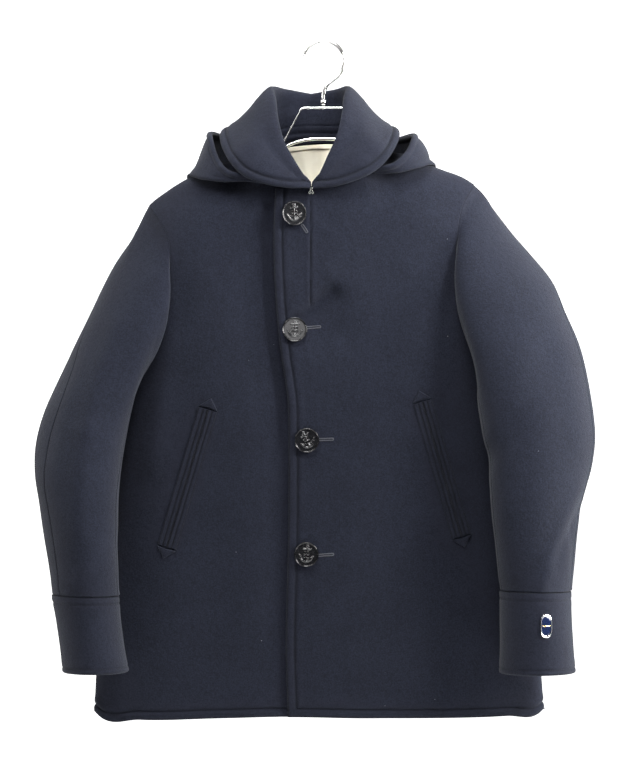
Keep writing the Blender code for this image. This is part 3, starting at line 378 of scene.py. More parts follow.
def front_grid(side, across, up):
    top = front_top(side, across)
    hem_x = BODY[0][1 if side == "left" else 2]
    end_x = edge_x(HEM[4][1]) + (UNDERLAP if side == "left" else 0)
    x = hem_x + (end_x - hem_x) * across
    hem = np.stack([x, hem_height(x)[..., 0]], -1)
    z = hem[-1, 1] + (top[-1, 1] - hem[-1, 1]) * up
    centre = np.stack([edge_x(z) + (UNDERLAP if side == "left" else 0), z], -1)
    hem[-1], top[-1] = centre[0], centre[-1]
    side_edge = side_line(side, up)
    hem[0], top[0] = side_edge[0], side_edge[-1]
    return coons(side_edge, centre, hem, top, across, up)


def back_grid(half, up):
    """Both halves in one grid; half is the spacing from a side to the centre."""
    across = np.concatenate([half / 2, 1 - half[::-1][1:] / 2])
    tops = []
    for side in ("left", "right"):
        seam = shoulder_seam(side, np.clip(half / 0.5, 0, 1))
        neckline = neck_point("back", side, np.clip((half - 0.5) / 0.5, 0, 1))
        tops.append(np.where((half <= 0.5)[:, None], seam, neckline))
    top = np.concatenate([tops[0], tops[1][::-1][1:]])
    x = BODY[0][1] + (BODY[0][2] - BODY[0][1]) * across
    hem = np.stack([x, hem_height(x)[..., 0]], -1)
    left, right = side_line("left", up), side_line("right", up)
    hem[0], hem[-1] = left[0], right[0]
    return coons(left, right, hem, top, across, up)


def lift_points(grid, surface, outward):
    """The grid's points on the surface, and their outward normals."""
    x, z = grid[..., 0], grid[..., 1]
    points = np.stack([x, surface(x, z), z], -1)
    return points, normals(surface, x, z, outward)


def grid_normals(points, closed=False):
    """Unit normals of a grid of points, rows first; closed joins its last column to its first."""
    if closed:
        along = np.roll(points, -1, 1) - np.roll(points, 1, 1)
    else:
        along = np.gradient(points, axis=1)
    return unit(np.cross(along, np.gradient(points, axis=0)))


def normals_facing(points, where, way):
    """A grid's unit normals, all turned over if the ones at where don't face this way."""
    normal = grid_normals(points)
    return normal if np.sum(normal[where] @ np.array(way)) > 0 else -normal


def cloth_thickness(grid, side):
    """Thicker at the turned hem, and on the over front along its faced edge."""
    x, z = grid[..., 0], grid[..., 1]
    hem = 1 - step_up((z - hem_height(x)[..., 0] - HEM_TURN) / 12)
    faced = 0
    if side == "right":
        faced = 1 - step_up((x - edge_x(z) - FACING) / 30)
    return CLOTH + (FACED - CLOTH) * np.maximum(hem, faced)


def body_tree(pieces):
    """A search tree of the body's outer faces, to keep other cloth clear of them."""
    points, faces = [], []
    for _, outer, normal in pieces.values():
        rows, columns = outer.shape[:2]
        first = len(points)
        points += [Vector(p) for p in outer.reshape(-1, 3)]
        i, j = rows // 2, columns // 2
        turn = np.cross(outer[i, j + 1] - outer[i, j], outer[i + 1, j] - outer[i, j])
        order = 1 if np.dot(turn, normal[i, j]) > 0 else -1
        for i in range(rows - 1):
            for j in range(columns - 1):
                a = first + i * columns + j
                faces.append((a, a + 1, a + columns + 1, a + columns)[::order])
    return BVHTree.FromPolygons(points, faces)


def keep_clear(points, tree, margin):
    """Moves points that come nearer to the body than the margin, or into it, out to the margin."""
    moved = points.copy()
    for index in np.ndindex(points.shape[:-1]):
        spot, normal, _, far = tree.find_nearest(Vector(points[index]))
        away = Vector(points[index]) - spot
        height = away.dot(normal)
        gap = margin[index] if np.ndim(margin) else margin
        if abs(height) < 0.8 * far:
            # Beside an open edge of the body, not under its cloth
            if far < gap:
                moved[index] = spot + away / far * gap
        elif height < gap:
            moved[index] = spot + normal * gap
    return moved


def keep_beside(points, side, gap):
    """Moves points level with the body's side seam outwards, round the corner of the body."""
    x, y, z = np.moveaxis(points, -1, 0)
    hand = HAND[side]
    below = z < armhole[side](1.0)[1] + 4
    centre_x = body_level(z)[..., 0 if side == "left" else 1] - hand * SIDE_CORE
    reach = np.hypot(x - centre_x, y)
    way_x, way_y = (x - centre_x) / reach, y / reach
    low, high = np.zeros_like(reach), np.full_like(reach, 250.0)
    for _ in range(24):
        tried = (low + high) / 2
        at_x = centre_x + way_x * tried
        deep = np.where(way_y < 0, depth(at_x, z, "front"), depth(at_x, z, "back"))
        inside = (np.abs(way_y) * tried < deep) & below
        low, high = np.where(inside, tried, low), np.where(inside, high, tried)
    reach = np.where(below & (way_x * hand > -0.2), np.maximum(reach, low + gap), reach)
    return np.stack([centre_x + way_x * reach, way_y * reach, z], -1)


def armhole_loop(side, turn):
    """Points and outward normals of the body at the armhole; turn 0 is the shoulder point, then
    down the front to the underarm at 0.5 and up the back."""
    share = np.where(turn <= 0.5, turn * 2, 2 - turn * 2)
    hole = armhole[side](share)
    x, z = hole[..., 0], hole[..., 1]
    over = front_left_y if side == "left" else front_right_y
    y = np.where(turn <= 0.5, over(x, z), back_y(x, z))
    normal = np.where(
        (turn <= 0.5)[:, None], normals(over, x, z, -1), normals(back_y, x, z, 1)
    )
    return np.stack([x, y, z], -1), normal


def ring_turns(side, ring):
    """Where the sleeve's lengthwise lines lie at a ring: the top sleeve's, then the under one's."""
    arm = np.array(ARM_STEPS)
    back = 1 - arm / 2
    top0 = np.concatenate([back[arm <= ELBOW_SEAM][::-1] - 1, arm[(arm > 0) & (arm <= FRONT_SEAM)] / 2])
    under0 = np.concatenate([arm[arm >= FRONT_SEAM] / 2, back[(arm < 1) & (arm >= ELBOW_SEAM)][::-1]])
    elbow = ELBOW_TURN[side]
    top1 = np.linspace(elbow, FRONT_TURN, len(top0))
    under1 = np.linspace(FRONT_TURN, 1 + elbow, len(under0))
    settled = step_up(ring / SEAMS_SETTLE)
    return top0 + (top1 - top0) * settled, under0 + (under1 - under0) * settled


def free_ring(side, ring, turn):
    """The sleeve's section at a ring, away from the armhole."""
    ox, oz, ix, iz, mid_y, half_y, forward, bow = curve(SLEEVE[side])(float(ring))
    angle = 2 * math.pi * turn
    centre = np.array([(ox + ix) / 2, (oz + iz) / 2])
    radius = np.array([(ox - ix) / 2, (oz - iz) / 2])
    spread = np.linalg.norm(radius)
    inward = np.array([radius[1], -radius[0]]) / spread
    if (inward[0] > 0) == (side == "right"):
        inward = -inward
    cos, sin = np.cos(angle), np.sin(angle)
    flat = centre + radius * cos[:, None] + inward * bow * (sin**2)[:, None]
    y = mid_y - half_y * sin + forward * cos - 0.15 * forward
    return np.stack([flat[:, 0], y, flat[:, 1]], -1)


def sleeve_ring(side, ring, turn, turn0):
    """The sleeve's section, which starts on the armhole and soon runs free of it."""
    free = free_ring(side, ring, turn)
    hole, _ = armhole_loop(side, turn0 % 1.0)
    fade = (1 - step_up(ring / 3.2)) ** 1.5
    return free + (hole - free_ring(side, 0, turn0)) * fade


def share_of_turn(turn):
    """How far round the armhole from the shoulder point, either way, as a share of a turn."""
    return np.abs((np.asarray(turn) + 0.5) % 1.0 - 0.5)


def armhole_gap(side, turn0):
    """A small shift off the body's edge: half sideways along the cloth, half out of it."""
    _, normal = armhole_loop(side, turn0 % 1.0)
    ahead, _ = armhole_loop(side, (turn0 + 0.004) % 1.0)
    behind, _ = armhole_loop(side, (turn0 - 0.004) % 1.0)
    beside = np.cross(unit(ahead - behind), normal)
    outward = np.array([HAND[side], 0, 0])
    beside *= np.sign(beside @ outward + 1e-6)[:, None]
    low = np.abs(turn0 % 1.0 - 0.5) < 0.09
    beside[low] = np.array([0, 0, 1.0])
    lowest = np.abs(turn0 % 1.0 - 0.5) < 0.05
    reach = np.where(share_of_turn(turn0) < 0.1, 2.2, np.where(lowest, 1.3, 0.7))
    return (beside + normal) * reach[:, None]


def collar_neck(side, share):
    """Where the collar meets the neck seam, in the middle of the cloth."""
    face = "front" if share < 0.62 else "back"
    along = 1 - share / 0.62 if face == "front" else (share - 0.62) / 0.38
    x, z = neck_point(face, side, along)
    if face == "front":
        surface = front_left_y if side == "left" else front_right_y
        wall_here = FACED if side == "right" and x < 5 else CLOTH
        normal = normals(surface, np.array([x]), np.array([z]), -1)[0]
    else:
        surface, wall_here = back_y, CLOTH
        normal = normals(surface, np.array([x]), np.array([z]), 1)[0]
    point = np.array([x, surface(np.array([x]), np.array([z]))[0], z])
    return point - normal * wall_here / 2


# ---------------------------------------------------------------- finer surfaces

ROUND_SEAM = 1.5  # the cloth turns into a seam over this distance
HALF_FACED = FACED / 2  # and over this one round a turned edge
# about how long the side seam, the armhole, a front and half the back are, to space points along them
SIDE_LONG, ARMHOLE_LONG, FRONT_WIDE, BACK_HALF = 474.0, 225.0, 300.0, 290.0
CUFF_LONG = 102.0
THREAD_PITCH = 3.4
NO_STITCHES = 300.0  # a distance in a stitch field at which there is none
# How far in from its edge or seam each line of topstitching runs
STITCH_IN = {"front": 11.4, "cuff": 10.0, "cuff_hem": 7.0, "collar": 10.5}
FACING_SEAM = (-17.0, -206.0, -345.0)  # across, upper end, lower end
SIDE_SEAM = 0.02  # half the gap left between the walls of a front and the back
TUCK = 6.0  # the sleeve's seam allowance runs on this far behind the body's cloth
EDGES_CALM = 40.0  # folds fade this near to a seam
VALLEY = 6.5  # the under front lies this much lower beside the over front's edge
# about how long half of the collar is, and how high its stand and its fall are
COLLAR_HALF, STAND_HIGH, FALL_HIGH = 330.0, 70.0, 75.0
COLLAR_END = 3.4  # thickness at its front ends
STAND_TUCK = np.array([0, -2.5, -3.1])
HOOD_HALF, HOOD_IN, HOOD_OUT = 420.0, 110.0, 150.0  # the same for a half of the hood
# creases across the back of the collar's stand: distance from the neck seam, half width, how far out
STAND_FOLDS = ((24, 0.9, -1.3), (20, 3.0, 0.5), (14, 1.8, -1.4), (9, 2.6, 1.1), (4, 1.6, -1.2))

# Soft creases seen on the cloth: piece, a line of three points (across, height), half width,
# how far it stands out
CREASES = (
    ("sleeve_left", -266, -372, -286, -425, -302, -505, 15, 2.6),
    ("sleeve_left", -302, -505, -311, -560, -313, -640, 13, 2.2),
    ("sleeve_left", -330, -420, -348, -470, -356, -540, 12, -1.6),
    ("sleeve_left", -300, -680, -318, -700, -340, -706, 7, 1.3),
    ("sleeve_right", 172, -243, 174, -250, 178, -256, 4, -1.6),
    ("sleeve_right", 326, -583, 303, -634, 277, -712, 10, 2.2),
    ("sleeve_right", 330, -606, 318, -622, 296, -672, 8, -2.0),
    ("sleeve_right", 318, -630, 320, -680, 322, -726, 5, -1.4),
    ("sleeve_right", 228, -520, 236, -600, 238, -690, 14, 1.8),
    ("sleeve_right", 300, -380, 320, -450, 326, -520, 16, 1.6),
    ("front_right", -38, -372, -14, -352, 10, -332, 12, -7.5),
    ("front_right", -4, -388, 16, -382, 30, -386, 22, -3.2),
    ("front_right", -36, -345, -16, -325, 6, -305, 13, 2.4),
    ("front_right", 140, -340, 150, -430, 158, -520, 16, -1.2),
    ("front_right", -12, -236, -2, -246, 10, -252, 6, 0.9),
    ("front_left", -80, -250, -96, -330, -104, -420, 16, -1.8),
    ("front_left", -196, -390, -210, -470, -222, -560, 15, 1.6),
    ("front_left", -60, -500, -66, -640, -68, -780, 12, -1.2),
)


def spaced(length, step, start_round, end_round, close=()):
    """Places from 0 to 1 along a length, closer together where an end is rounded and in the
    close zones: where each starts and ends, and its step."""
    near = np.array([0, 0.12, 0.35, 0.7, 1.0, 1.5, 2.2])
    start = near * start_round if start_round else np.array([0.0])
    end = length - near[::-1] * end_round if end_round else np.array([float(length)])
    middle = [start[-1]]
    while middle[-1] < end[0]:
        at = middle[-1]
        middle.append(at + min([size for a, b, size in close if a <= at < b], default=step))
    middle = np.array(middle)
    middle = start[-1] + (middle - start[-1]) * (end[0] - start[-1]) / (middle[-1] - start[-1])
    return np.concatenate([start, middle[1:-1], end]) / length


def sewn(distance, place, deep, half, swell):
    """How far a line of topstitching pulls the cloth in, and how far it swells on both sides."""
    off = distance - place
    groove = -deep * np.exp(-((off / half) ** 2))
    puff = np.exp(-(((off + place * 0.5) / (place * 0.28)) ** 2)) + 0.6 * np.exp(-(((off - 6) / 3.4) ** 2))
    return groove + swell * puff


def from_edges(points):
    """Distances in millimetres along a grid's rows and columns from its four edges."""
    across = np.linalg.norm(np.diff(points, axis=1), axis=-1)
    across = np.concatenate([np.zeros((len(points), 1)), np.cumsum(across, axis=1)], axis=1)
    down = np.linalg.norm(np.diff(points, axis=0), axis=-1)
    down = np.concatenate([np.zeros((1, points.shape[1])), np.cumsum(down, axis=0)], axis=0)
    return across, across[:, -1:] - across, down, down[-1:] - down


def rounding(distance, radius):
    """How far a surface has dropped at this distance from its rounded edge."""
    if not np.any(radius):
        return np.zeros_like(distance)
    inside = np.clip(radius - distance, 0, radius)
    return radius - np.sqrt(np.maximum(radius**2 - inside**2, 0))


def line_distance(x, z, line):
    """Distance of each (x, z) from a line of points."""
    best = np.full(np.shape(x), 1e9)
    for (ax, az), (bx, bz) in zip(line, line[1:]):
        dx, dz = bx - ax, bz - az
        t = np.clip(((x - ax) * dx + (z - az) * dz) / (dx * dx + dz * dz), 0, 1)
        best = np.minimum(best, np.hypot(x - ax - t * dx, z - az - t * dz))
    return best


def creases(piece, points):
    """How far the soft creases move the front of a piece outwards."""
    x, z = points[..., 0], points[..., 2]
    out = np.zeros(x.shape)
    for where, ax, az, bx, bz, cx, cz, half, high in CREASES:
        if where == piece:
            away = line_distance(x, z, [(ax, az), (bx, bz), (cx, cz)])
            out += high * np.exp(-((away / half) ** 2))
    return out


def undulation(points, seed, high):
    """A gentle unevenness of hung cloth, from a few waves in space."""
    random = np.random.default_rng(seed)
    out = np.zeros(points.shape[:-1])
    for _ in range(14):
        way = random.normal(size=3) * np.array([1.0, 0.7, 0.55])
        way *= 2 * math.pi / random.uniform(70, 230) / np.linalg.norm(way)
        out += np.sin(points @ way + random.uniform(0, 2 * math.pi))
    return out * high / 3.5


def fine_mesh(name, points, quads, look, fields=None, smooth_angle=60):
    """A mesh from points in millimetres; fields are named pairs of values for each point."""
    points = np.asarray(points, float)
    quads = np.asarray(quads)
    a, b, c, d = (points[quads[:, k]] for k in range(4))
    volume = np.sum(a * np.cross(b, c)) + np.sum(a * np.cross(c, d))
    if volume < 0:
        quads = quads[:, ::-1]
    mesh = bpy.data.meshes.new(name)
    mesh.from_pydata((points * MM).tolist(), [], quads.tolist())
    mesh.validate()
    for key, values in (fields or {}).items():
        layer = mesh.uv_layers.new(name=key)
        corner = np.zeros(len(mesh.loops), int)
        mesh.loops.foreach_get("vertex_index", corner)
        layer.data.foreach_set("uv", (values.reshape(-1, 2)[corner] * MM).ravel())
    mesh.materials.append(look)
    mesh.shade_smooth()
    if smooth_angle:
        mesh.set_sharp_from_angle(angle=math.radians(smooth_angle))
    obj = bpy.data.objects.new(name, mesh)
    bpy.context.scene.collection.objects.link(obj)
    return obj


def unfolded(grid):
    """Evens out a flat grid where it would fold over itself."""
    grid = grid.copy()
    for _ in range(200):
        up, across = grid[1:, :-1] - grid[:-1, :-1], grid[:-1, 1:] - grid[:-1, :-1]
        area = up[..., 0] * across[..., 1] - up[..., 1] * across[..., 0]
        area = area * np.sign(np.median(area))
        size = np.linalg.norm(up, axis=-1) * np.linalg.norm(across, axis=-1)
        bad = area < 0.3 * size
        if not bad.any():
            break
        near = np.zeros(grid.shape[:2])
        near[:-1, :-1] = bad
        for _ in range(3):
            near[1:-1, 1:-1] = np.maximum.reduce([
                near[1:-1, 1:-1], near[:-2, 1:-1], near[2:, 1:-1], near[1:-1, :-2], near[1:-1, 2:]])
        near[0] = near[-1] = near[:, 0] = near[:, -1] = 0
        even = grid.copy()
        even[1:-1, 1:-1] = (grid[:-2, 1:-1] + grid[2:, 1:-1] + grid[1:-1, :-2] + grid[1:-1, 2:]) / 4
        grid = grid + (even - grid) * 0.7 * near[..., None]
    return grid


def grid_quads(rows, columns, closed=False):
    i = np.arange(rows - 1)[:, None] * columns
    j = np.arange(columns if closed else columns - 1)[None]
    k = (j + 1) % columns
    return np.stack([i + j, i + k, i + columns + k, i + columns + j], -1).reshape(-1, 4)


def fine_wall(name, outer, inner, look, fields=None, closed=False):
    """A closed cloth wall of quads between two grids."""
    rows, columns = outer.shape[:2]
    count = rows * columns
    face = grid_quads(rows, columns, closed)
    index = np.arange(count).reshape(rows, columns)
    if closed:
        rims = [np.append(index[0], index[0, 0]), np.append(index[-1], index[-1, 0])[::-1]]
    else:
        rims = [np.concatenate([index[0], index[1:, -1], index[-1, -2::-1], index[-2::-1, 0]])]
    sides = []
    for rim in rims:
        a, b = rim[:-1], rim[1:]
        sides.append(np.stack([b, a, count + a, count + b], -1))
    quads = np.concatenate([face, count + face[:, ::-1], *sides])
    points = np.concatenate([outer.reshape(-1, 3), inner.reshape(-1, 3)])
    both = {key: np.concatenate([v.reshape(-1, 2)] * 2) for key, v in (fields or {}).items()}
    return fine_mesh(name, points, quads, look, both)


def cloth_wall(name, outer, away, thick, look, edges, fields=None, closed=False, flat=None, relief=0):
    """A wall whose edges are rounded: edges gives, for first and last column and first and last
    row, how it ends: "free" is a turned edge, "sewn" dips into a seam, None runs on. relief is how
    far its outer face alone stands out."""
    distances = from_edges(outer)
    drop_out, drop_in = np.zeros(outer.shape[:2]), np.zeros(outer.shape[:2])
    for way, distance in zip(edges, distances):
        if way == "free":
            half = thick / 2 * 0.96
            drop = rounding(distance, half)
            drop_out, drop_in = np.maximum(drop_out, drop), np.maximum(drop_in, drop)
        elif way == "sewn":
            drop_out = np.maximum(drop_out, rounding(distance, ROUND_SEAM))
    inner = outer - away * (thick - drop_in)[..., None]
    if flat is not None:
        inner[..., 1] = flat(inner[..., 1])
    return fine_wall(name, outer + away * (relief - drop_out)[..., None], inner, look, fields, closed)


def pair(first, second):
    return np.stack([first, second], -1)


def eased_out(points, normal, wave, ends):
    """Points moved out by a wave that fades towards the edges, which are this far off."""
    ease = np.clip(np.minimum.reduce(ends) / EDGES_CALM, 0, 1)
    return points + normal * (wave * ease)[..., None]


def make_fine_body():
    """The fronts and the back, and the surfaces that other pieces lie on."""
    outers = {}
    reliefs = {}
    up_low = spaced(SIDE_LONG, 5.0, HALF_FACED, 0, ((0, 22, 1.3),)) * UNDERARM
    up_high = UNDERARM + spaced(ARMHOLE_LONG, 4.0, 0, ROUND_SEAM)[1:] * (1 - UNDERARM)
    up = np.concatenate([up_low, up_high])
    for side, surface in (("left", front_left_y), ("right", front_right_y)):
        close = ((226, 258, 1.4), (274, FRONT_WIDE, 1.1)) if side == "right" else ()
        across = spaced(FRONT_WIDE, 4.0, ROUND_SEAM, HALF_FACED, close)
        grid = unfolded(front_grid(side, across, up))
        points, normal = lift_points(grid, surface, -1)
        hold = step_up((points[..., 0] - edge_x(points[..., 2]) + 4) / 30)
        wave = creases("front_left", points) + creases("front_right", points) * hold
        wave = wave + undulation(points * np.array([1, 0, 1]), 5, 0.7)
        if side == "left":
            left_of = points[..., 0] - edge_x(points[..., 2])
            beside = np.exp(-(((left_of + 4) / 10) ** 2)) + 0.5 * np.exp(-(((left_of + 14) / 34) ** 2))
            high = step_up((points[..., 2] + 560) / 120) * step_up((-195 - points[..., 2]) / 25)
            wave = wave - VALLEY * beside * high
        ends = from_edges(points)
        points = eased_out(points, normal, wave, [ends[k] for k in (0, 2, 3)])
        outers["front_" + side] = (grid, points, normals_facing(points, ..., (0, -1, 0)))
    half = spaced(BACK_HALF, 5.0, ROUND_SEAM, 0)
    grid = unfolded(back_grid(half, up))
    points, normal = lift_points(grid, back_y, 1)
    points = eased_out(points, normal, undulation(points, 9, 1.0), from_edges(points))
    outers["back"] = (grid, points, normals_facing(points, ..., (0, 1, 0)))
    for name, (grid, points, normal) in outers.items():
        side = "right" if name == "front_right" else "other"
        thick = cloth_thickness(grid, side)
        x, z = points[..., 0], points[..., 2]
        hem, run = z - hem_height(x)[..., 0], x
        relief = 0
        seam_x, seam_top, seam_end = FACING_SEAM
        facing = np.hypot(x - seam_x, np.maximum.reduce([0 * z, z - seam_top, seam_end - z]))
        if side == "right":
            run = np.where(x - edge_x(z) < hem, z, x)
            hem = np.minimum(x - edge_x(z), hem)
            relief = -1.4 * np.exp(-((facing / 0.9) ** 2)) + 0.5 * np.exp(-(((facing - 4) / 2.4) ** 2))
        relief = relief + sewn(hem, STITCH_IN["front"], 1.5, 1.5, 0.75)
        reliefs[name] = relief
        fields = {"cloth": pair(x, z), "hem": pair(hem, run), "facing": pair(facing, z)}
        if name == "back":
            edges = ("sewn", "sewn", "free", "sewn")
            flat = lambda y: np.maximum(y, SIDE_SEAM)
        else:
            edges = ("sewn", "free", "free", "sewn")
            flat = lambda y: np.minimum(y, -SIDE_SEAM)
        look = WOOL["front"] if name == "front_right" else WOOL["body"]
        obj = cloth_wall(name + "_cloth", points, normal, thick, look, edges, fields,
                         flat=flat, relief=relief)
        finish_piece(obj, "navy_wool", name)
    return {name: (grid, points + normal * reliefs[name][..., None], normal)
            for name, (grid, points, normal) in outers.items()}


def smooth_grid(field, times, closed):
    """Evens out a grid of offsets."""
    for _ in range(times):
        if closed:
            side = (np.roll(field, 1, 1) + np.roll(field, -1, 1)) / 2
        else:
            side = field.copy()
            side[:, 1:-1] = (field[:, 2:] + field[:, :-2]) / 2
        field = field * 0.5 + side * 0.5
        level = field.copy()
        level[1:-1] = (field[2:] + field[:-2]) / 2
        field = field * 0.5 + level * 0.5
    return field


def spread(values, count):
    """The same run of values, with count places in place of the few that it has."""
    return np.interp(np.linspace(0, len(values) - 1, count), np.arange(len(values)), values)


def sleeve_grid(side, rings, counts):
    """A sleeve's sections at the rings, with so many steps along the top and the under sleeve."""
    top0, under0 = (spread(v, n + 1) for v, n in zip(ring_turns(side, 0), counts))
    turns = np.concatenate([top0[:-1], under0[:-1]])
    grid = []
    for ring in rings:
        top, under = (spread(v, n + 1) for v, n in zip(ring_turns(side, ring), counts))
        grid.append(sleeve_ring(side, ring, np.concatenate([top[:-1], under[:-1]]), turns))
    return np.array(grid), turns


def make_fine_sleeve(side):
    """The same line as the CAD's sleeve, followed more finely and evened out round the body."""
    many = (57, 45)
    head = spaced(4.5 * 30, 3.5, 1.6, 0) * 4.5
    rings = np.concatenate([[0.0], head, np.arange(4.7, CUFF_RING[side] - 0.2, 0.2)])
    rings = np.concatenate([rings, CUFF_RING[side] - np.array([0.14, 0.09, 0.05, 0.02, 0.008])])
    fine, turns = sleeve_grid(side, rings, many)
    start = np.clip(rings / 1.2, 0, 1)[:, None, None]
    pushed = fine.copy()
    for margin, times in ((5.0, 24), (4.0, 10), (3.0, 3)):
        shift = keep_beside(pushed, side, margin) - pushed
        pushed = pushed + smooth_grid(shift, times, True) * start
    gap, (_, out_of) = armhole_gap(side, turns), armhole_loop(side, turns % 1.0)
    beside = unit(gap - out_of * np.sum(gap * out_of, axis=-1, keepdims=True))
    pushed[1] = fine[0] - beside * 0.5 - out_of * 1.0
    pushed[0] = fine[0] - beside * TUCK - out_of * (CLOTH + 1.0)
    normal = outward_normals(pushed)
    front = np.clip((-normal[..., 1] + 0.25) * 2, 0, 1)
    fade = step_up((rings - 0.4) / 1.2)[:, None]
    seed = 21 if side == "left" else 22
    wave = creases("sleeve_" + side, pushed) * front + undulation(pushed, seed, 0.9)
    pushed = pushed + normal * (wave * fade)[..., None]
    normal = outward_normals(pushed)
    split = many[0]
    for name, first, last in (("top", 0, split), ("under", split, fine.shape[1])):
        columns = [j % fine.shape[1] for j in range(first, last + 1)]
        outer, away = pushed[:, columns], normal[:, columns]
        near = np.array([0.0, 0.10, 0.25, 0.5, 0.8])
        outer, away = tighten(outer, near), unit(tighten(away, near))
        for edge, inside in ((0, 1), (-1, -2)):
            outer[:, edge] += 0.12 * unit(outer[:, inside] - outer[:, edge])
        left, right, down, _ = from_edges(outer)
        seam = np.minimum.reduce([np.abs(down - TUCK), left, right])
        fields = {"cloth": pair(left, down), "edge": pair(seam, down)}
        thick = np.full(left.shape, CLOTH)
        obj = cloth_wall(f"sleeve_{name}_{side}_cloth", outer, away, thick, WOOL["sleeve"],
                         ("sewn", "sewn", "sewn", "sewn"), fields)
        finish_piece(obj, "navy_wool", f"sleeve_{name}_{side}")


def tighten(grid, near):
    """Adds columns near both ends of a grid, for rounded seams."""
    columns = np.arange(grid.shape[1], dtype=float)
    places = np.concatenate([near, columns[1:-1], columns[-1] - near[::-1]])
    low = np.clip(np.floor(places).astype(int), 0, len(columns) - 2)
    t = (places - low)[None, :, None]
    return grid[:, low] * (1 - t) + grid[:, low + 1] * t


def outward_normals(tube):
    normal = grid_normals(tube, closed=True)
    middle = len(tube) // 2
    if np.sum(normal[middle] * (tube[middle] - tube[middle].mean(axis=0))) < 0:
        normal = -normal
    return normal


def make_fine_cuff(side, tree):
    """The cuff, a band below a seam; it returns its outer points."""
    first, last = CUFF_RING[side] + 0.012, LAST_RING[side]
    rings = first + (last - first) * spaced(CUFF_LONG, 1.4, ROUND_SEAM, HALF_FACED)
    turn = np.linspace(0, 1, 96, endpoint=False)
    points = np.array([free_ring(side, ring, turn) for ring in rings])
    points = keep_clear(keep_beside(points, side, 3.0), tree, 3.0)
    normal = outward_normals(points)
    points = points + normal * undulation(points, 31 if side == "left" else 32, 0.5)[..., None]
    normal = outward_normals(points)
    start = CUFF_RING[side]
    thick = np.interp(rings, (start, start + 1, last), (CLOTH, FACED - 1, FACED))[:, None]
    thick = thick * np.ones(points.shape[:2])
    around, _, down, _ = from_edges(points)
    up = down.max(axis=0)[None] - down
    fields = {"cloth": pair(around, down), "hem": pair(up, around), "edge": pair(down, around)}
    relief = sewn(down, STITCH_IN["cuff"], 0.6, 1.2, 0.25) + sewn(up, STITCH_IN["cuff_hem"], 0.6, 1.2, 0.2)
    obj = cloth_wall(f"cuff_{side}_cloth", points, normal, thick, WOOL["cuff"],
                     (None, None, "sewn", "free"),
                     fields, closed=True, relief=relief)
    finish_piece(obj, "navy_wool", f"cuff_{side}")
    return points


def fine_folded(seam, fold, edge, rounding_share, first_belly, last_belly, first, bend, last):
    """The collar's and hood's section, with its own number of steps in each part."""
    a = fold + (seam - fold) * rounding_share
    b = fold + (edge - fold) * rounding_share
    corner = 2 * fold - (a + b) / 2
    legs = []
    for start, end, other, belly, places in ((seam, a, edge, first_belly, first),
                                             (b, edge, seam, last_belly, last)):
        t = places[:, None]
        run = unit(end - start)
        off = (start + end) / 2 - other
        off -= run * np.dot(off, run)
        legs.append(start + (end - start) * t + unit(off) * belly * 4 * t * (1 - t))
    t = np.linspace(0, 1, bend + 1)[1:-1, None]
    curve_part = a * (1 - t) ** 2 + corner * 2 * t * (1 - t) + b * t**2
    return np.concatenate([legs[0], curve_part, legs[1]])


def make_fine_collar():
    """Stand and fall, rolled over; each half runs from the front end to the middle of the back."""
    half = spaced(COLLAR_HALF, 4.0, 2.4, 0)
    first = spaced(STAND_HIGH, 2.0, 0, 0)
    last = spaced(FALL_HIGH, 4.0, 0, 2.4, ((50, FALL_HIGH, 1.2),))
    sections = []
    for side, places in (("left", half), ("right", half[::-1][1:])):
        for share in places:
            middle, lean, ru, ry, rz, eu, ey, ez = curve(COLLAR)(float(share))
            ru, eu = ru - 2.8 * (1 - step_up(share / 0.1)), eu - 7.0 * (1 - step_up(share / 0.12))
            hand = HAND[side]
            seam = collar_neck(side, share)
            roll = np.array([middle + hand * ru, ry, rz + lean * hand * ru])
            edge = np.array([middle + hand * eu, ey, ez + lean * hand * eu])
            # at the back the stand runs on a little way inside the back's neck edge
            seam = seam + np.array([0, 0, 0.6]) + STAND_TUCK * step_up((share - 0.6) / 0.1)
            belly = 5.0 * min(1, share * 3) - 8.5 * step_up((share - 0.42) / 0.2)
            sections.append(fine_folded(seam, roll, edge, 0.3, 1.5, belly, first, 10, last))
    middle = np.array(sections)
    front_edge_spot, forwards = (len(half) // 3, -3), (0, -1, 0)
    normal = normals_facing(middle, front_edge_spot, forwards)
    taper = np.concatenate([half, half[::-1][1:]])
    thick = (COLLAR_END + (FACED - COLLAR_END) * step_up(taper / 0.12))[:, None] * np.ones(middle.shape[:2])
    wave = undulation(middle, 41, 0.6) * np.clip(taper * 6, 0, 1)[:, None]
    middle = middle + normal * wave[..., None]
    normal = normals_facing(middle, front_edge_spot, forwards)
    outer = middle + normal * (thick / 2)[..., None]
    d = from_edges(middle)
    fields = {"cloth": pair(d[2], d[0]), "hem": pair(d[1], d[2]), "stand": pair(d[0], d[2])}
    behind = step_up((taper - 0.62) / 0.2)[:, None]
    bent = d[0] + 1.6 * np.sin(d[2] / 31) + 0.8 * np.sin(d[2] / 13 + 1)
    relief = sewn(d[1], STITCH_IN["collar"], 1.5, 1.6, 0.9) * np.clip(taper * 12, 0, 1)[:, None]
    for place, half, high in STAND_FOLDS:
        relief = relief + behind * high * np.exp(-(((bent - place) / half) ** 2))
    obj = cloth_wall("collar_cloth", outer, normal, thick, WOOL["collar"], (None, "free", "free", "free"),
                     fields, relief=relief)
    finish_piece(obj, "navy_wool", "collar")


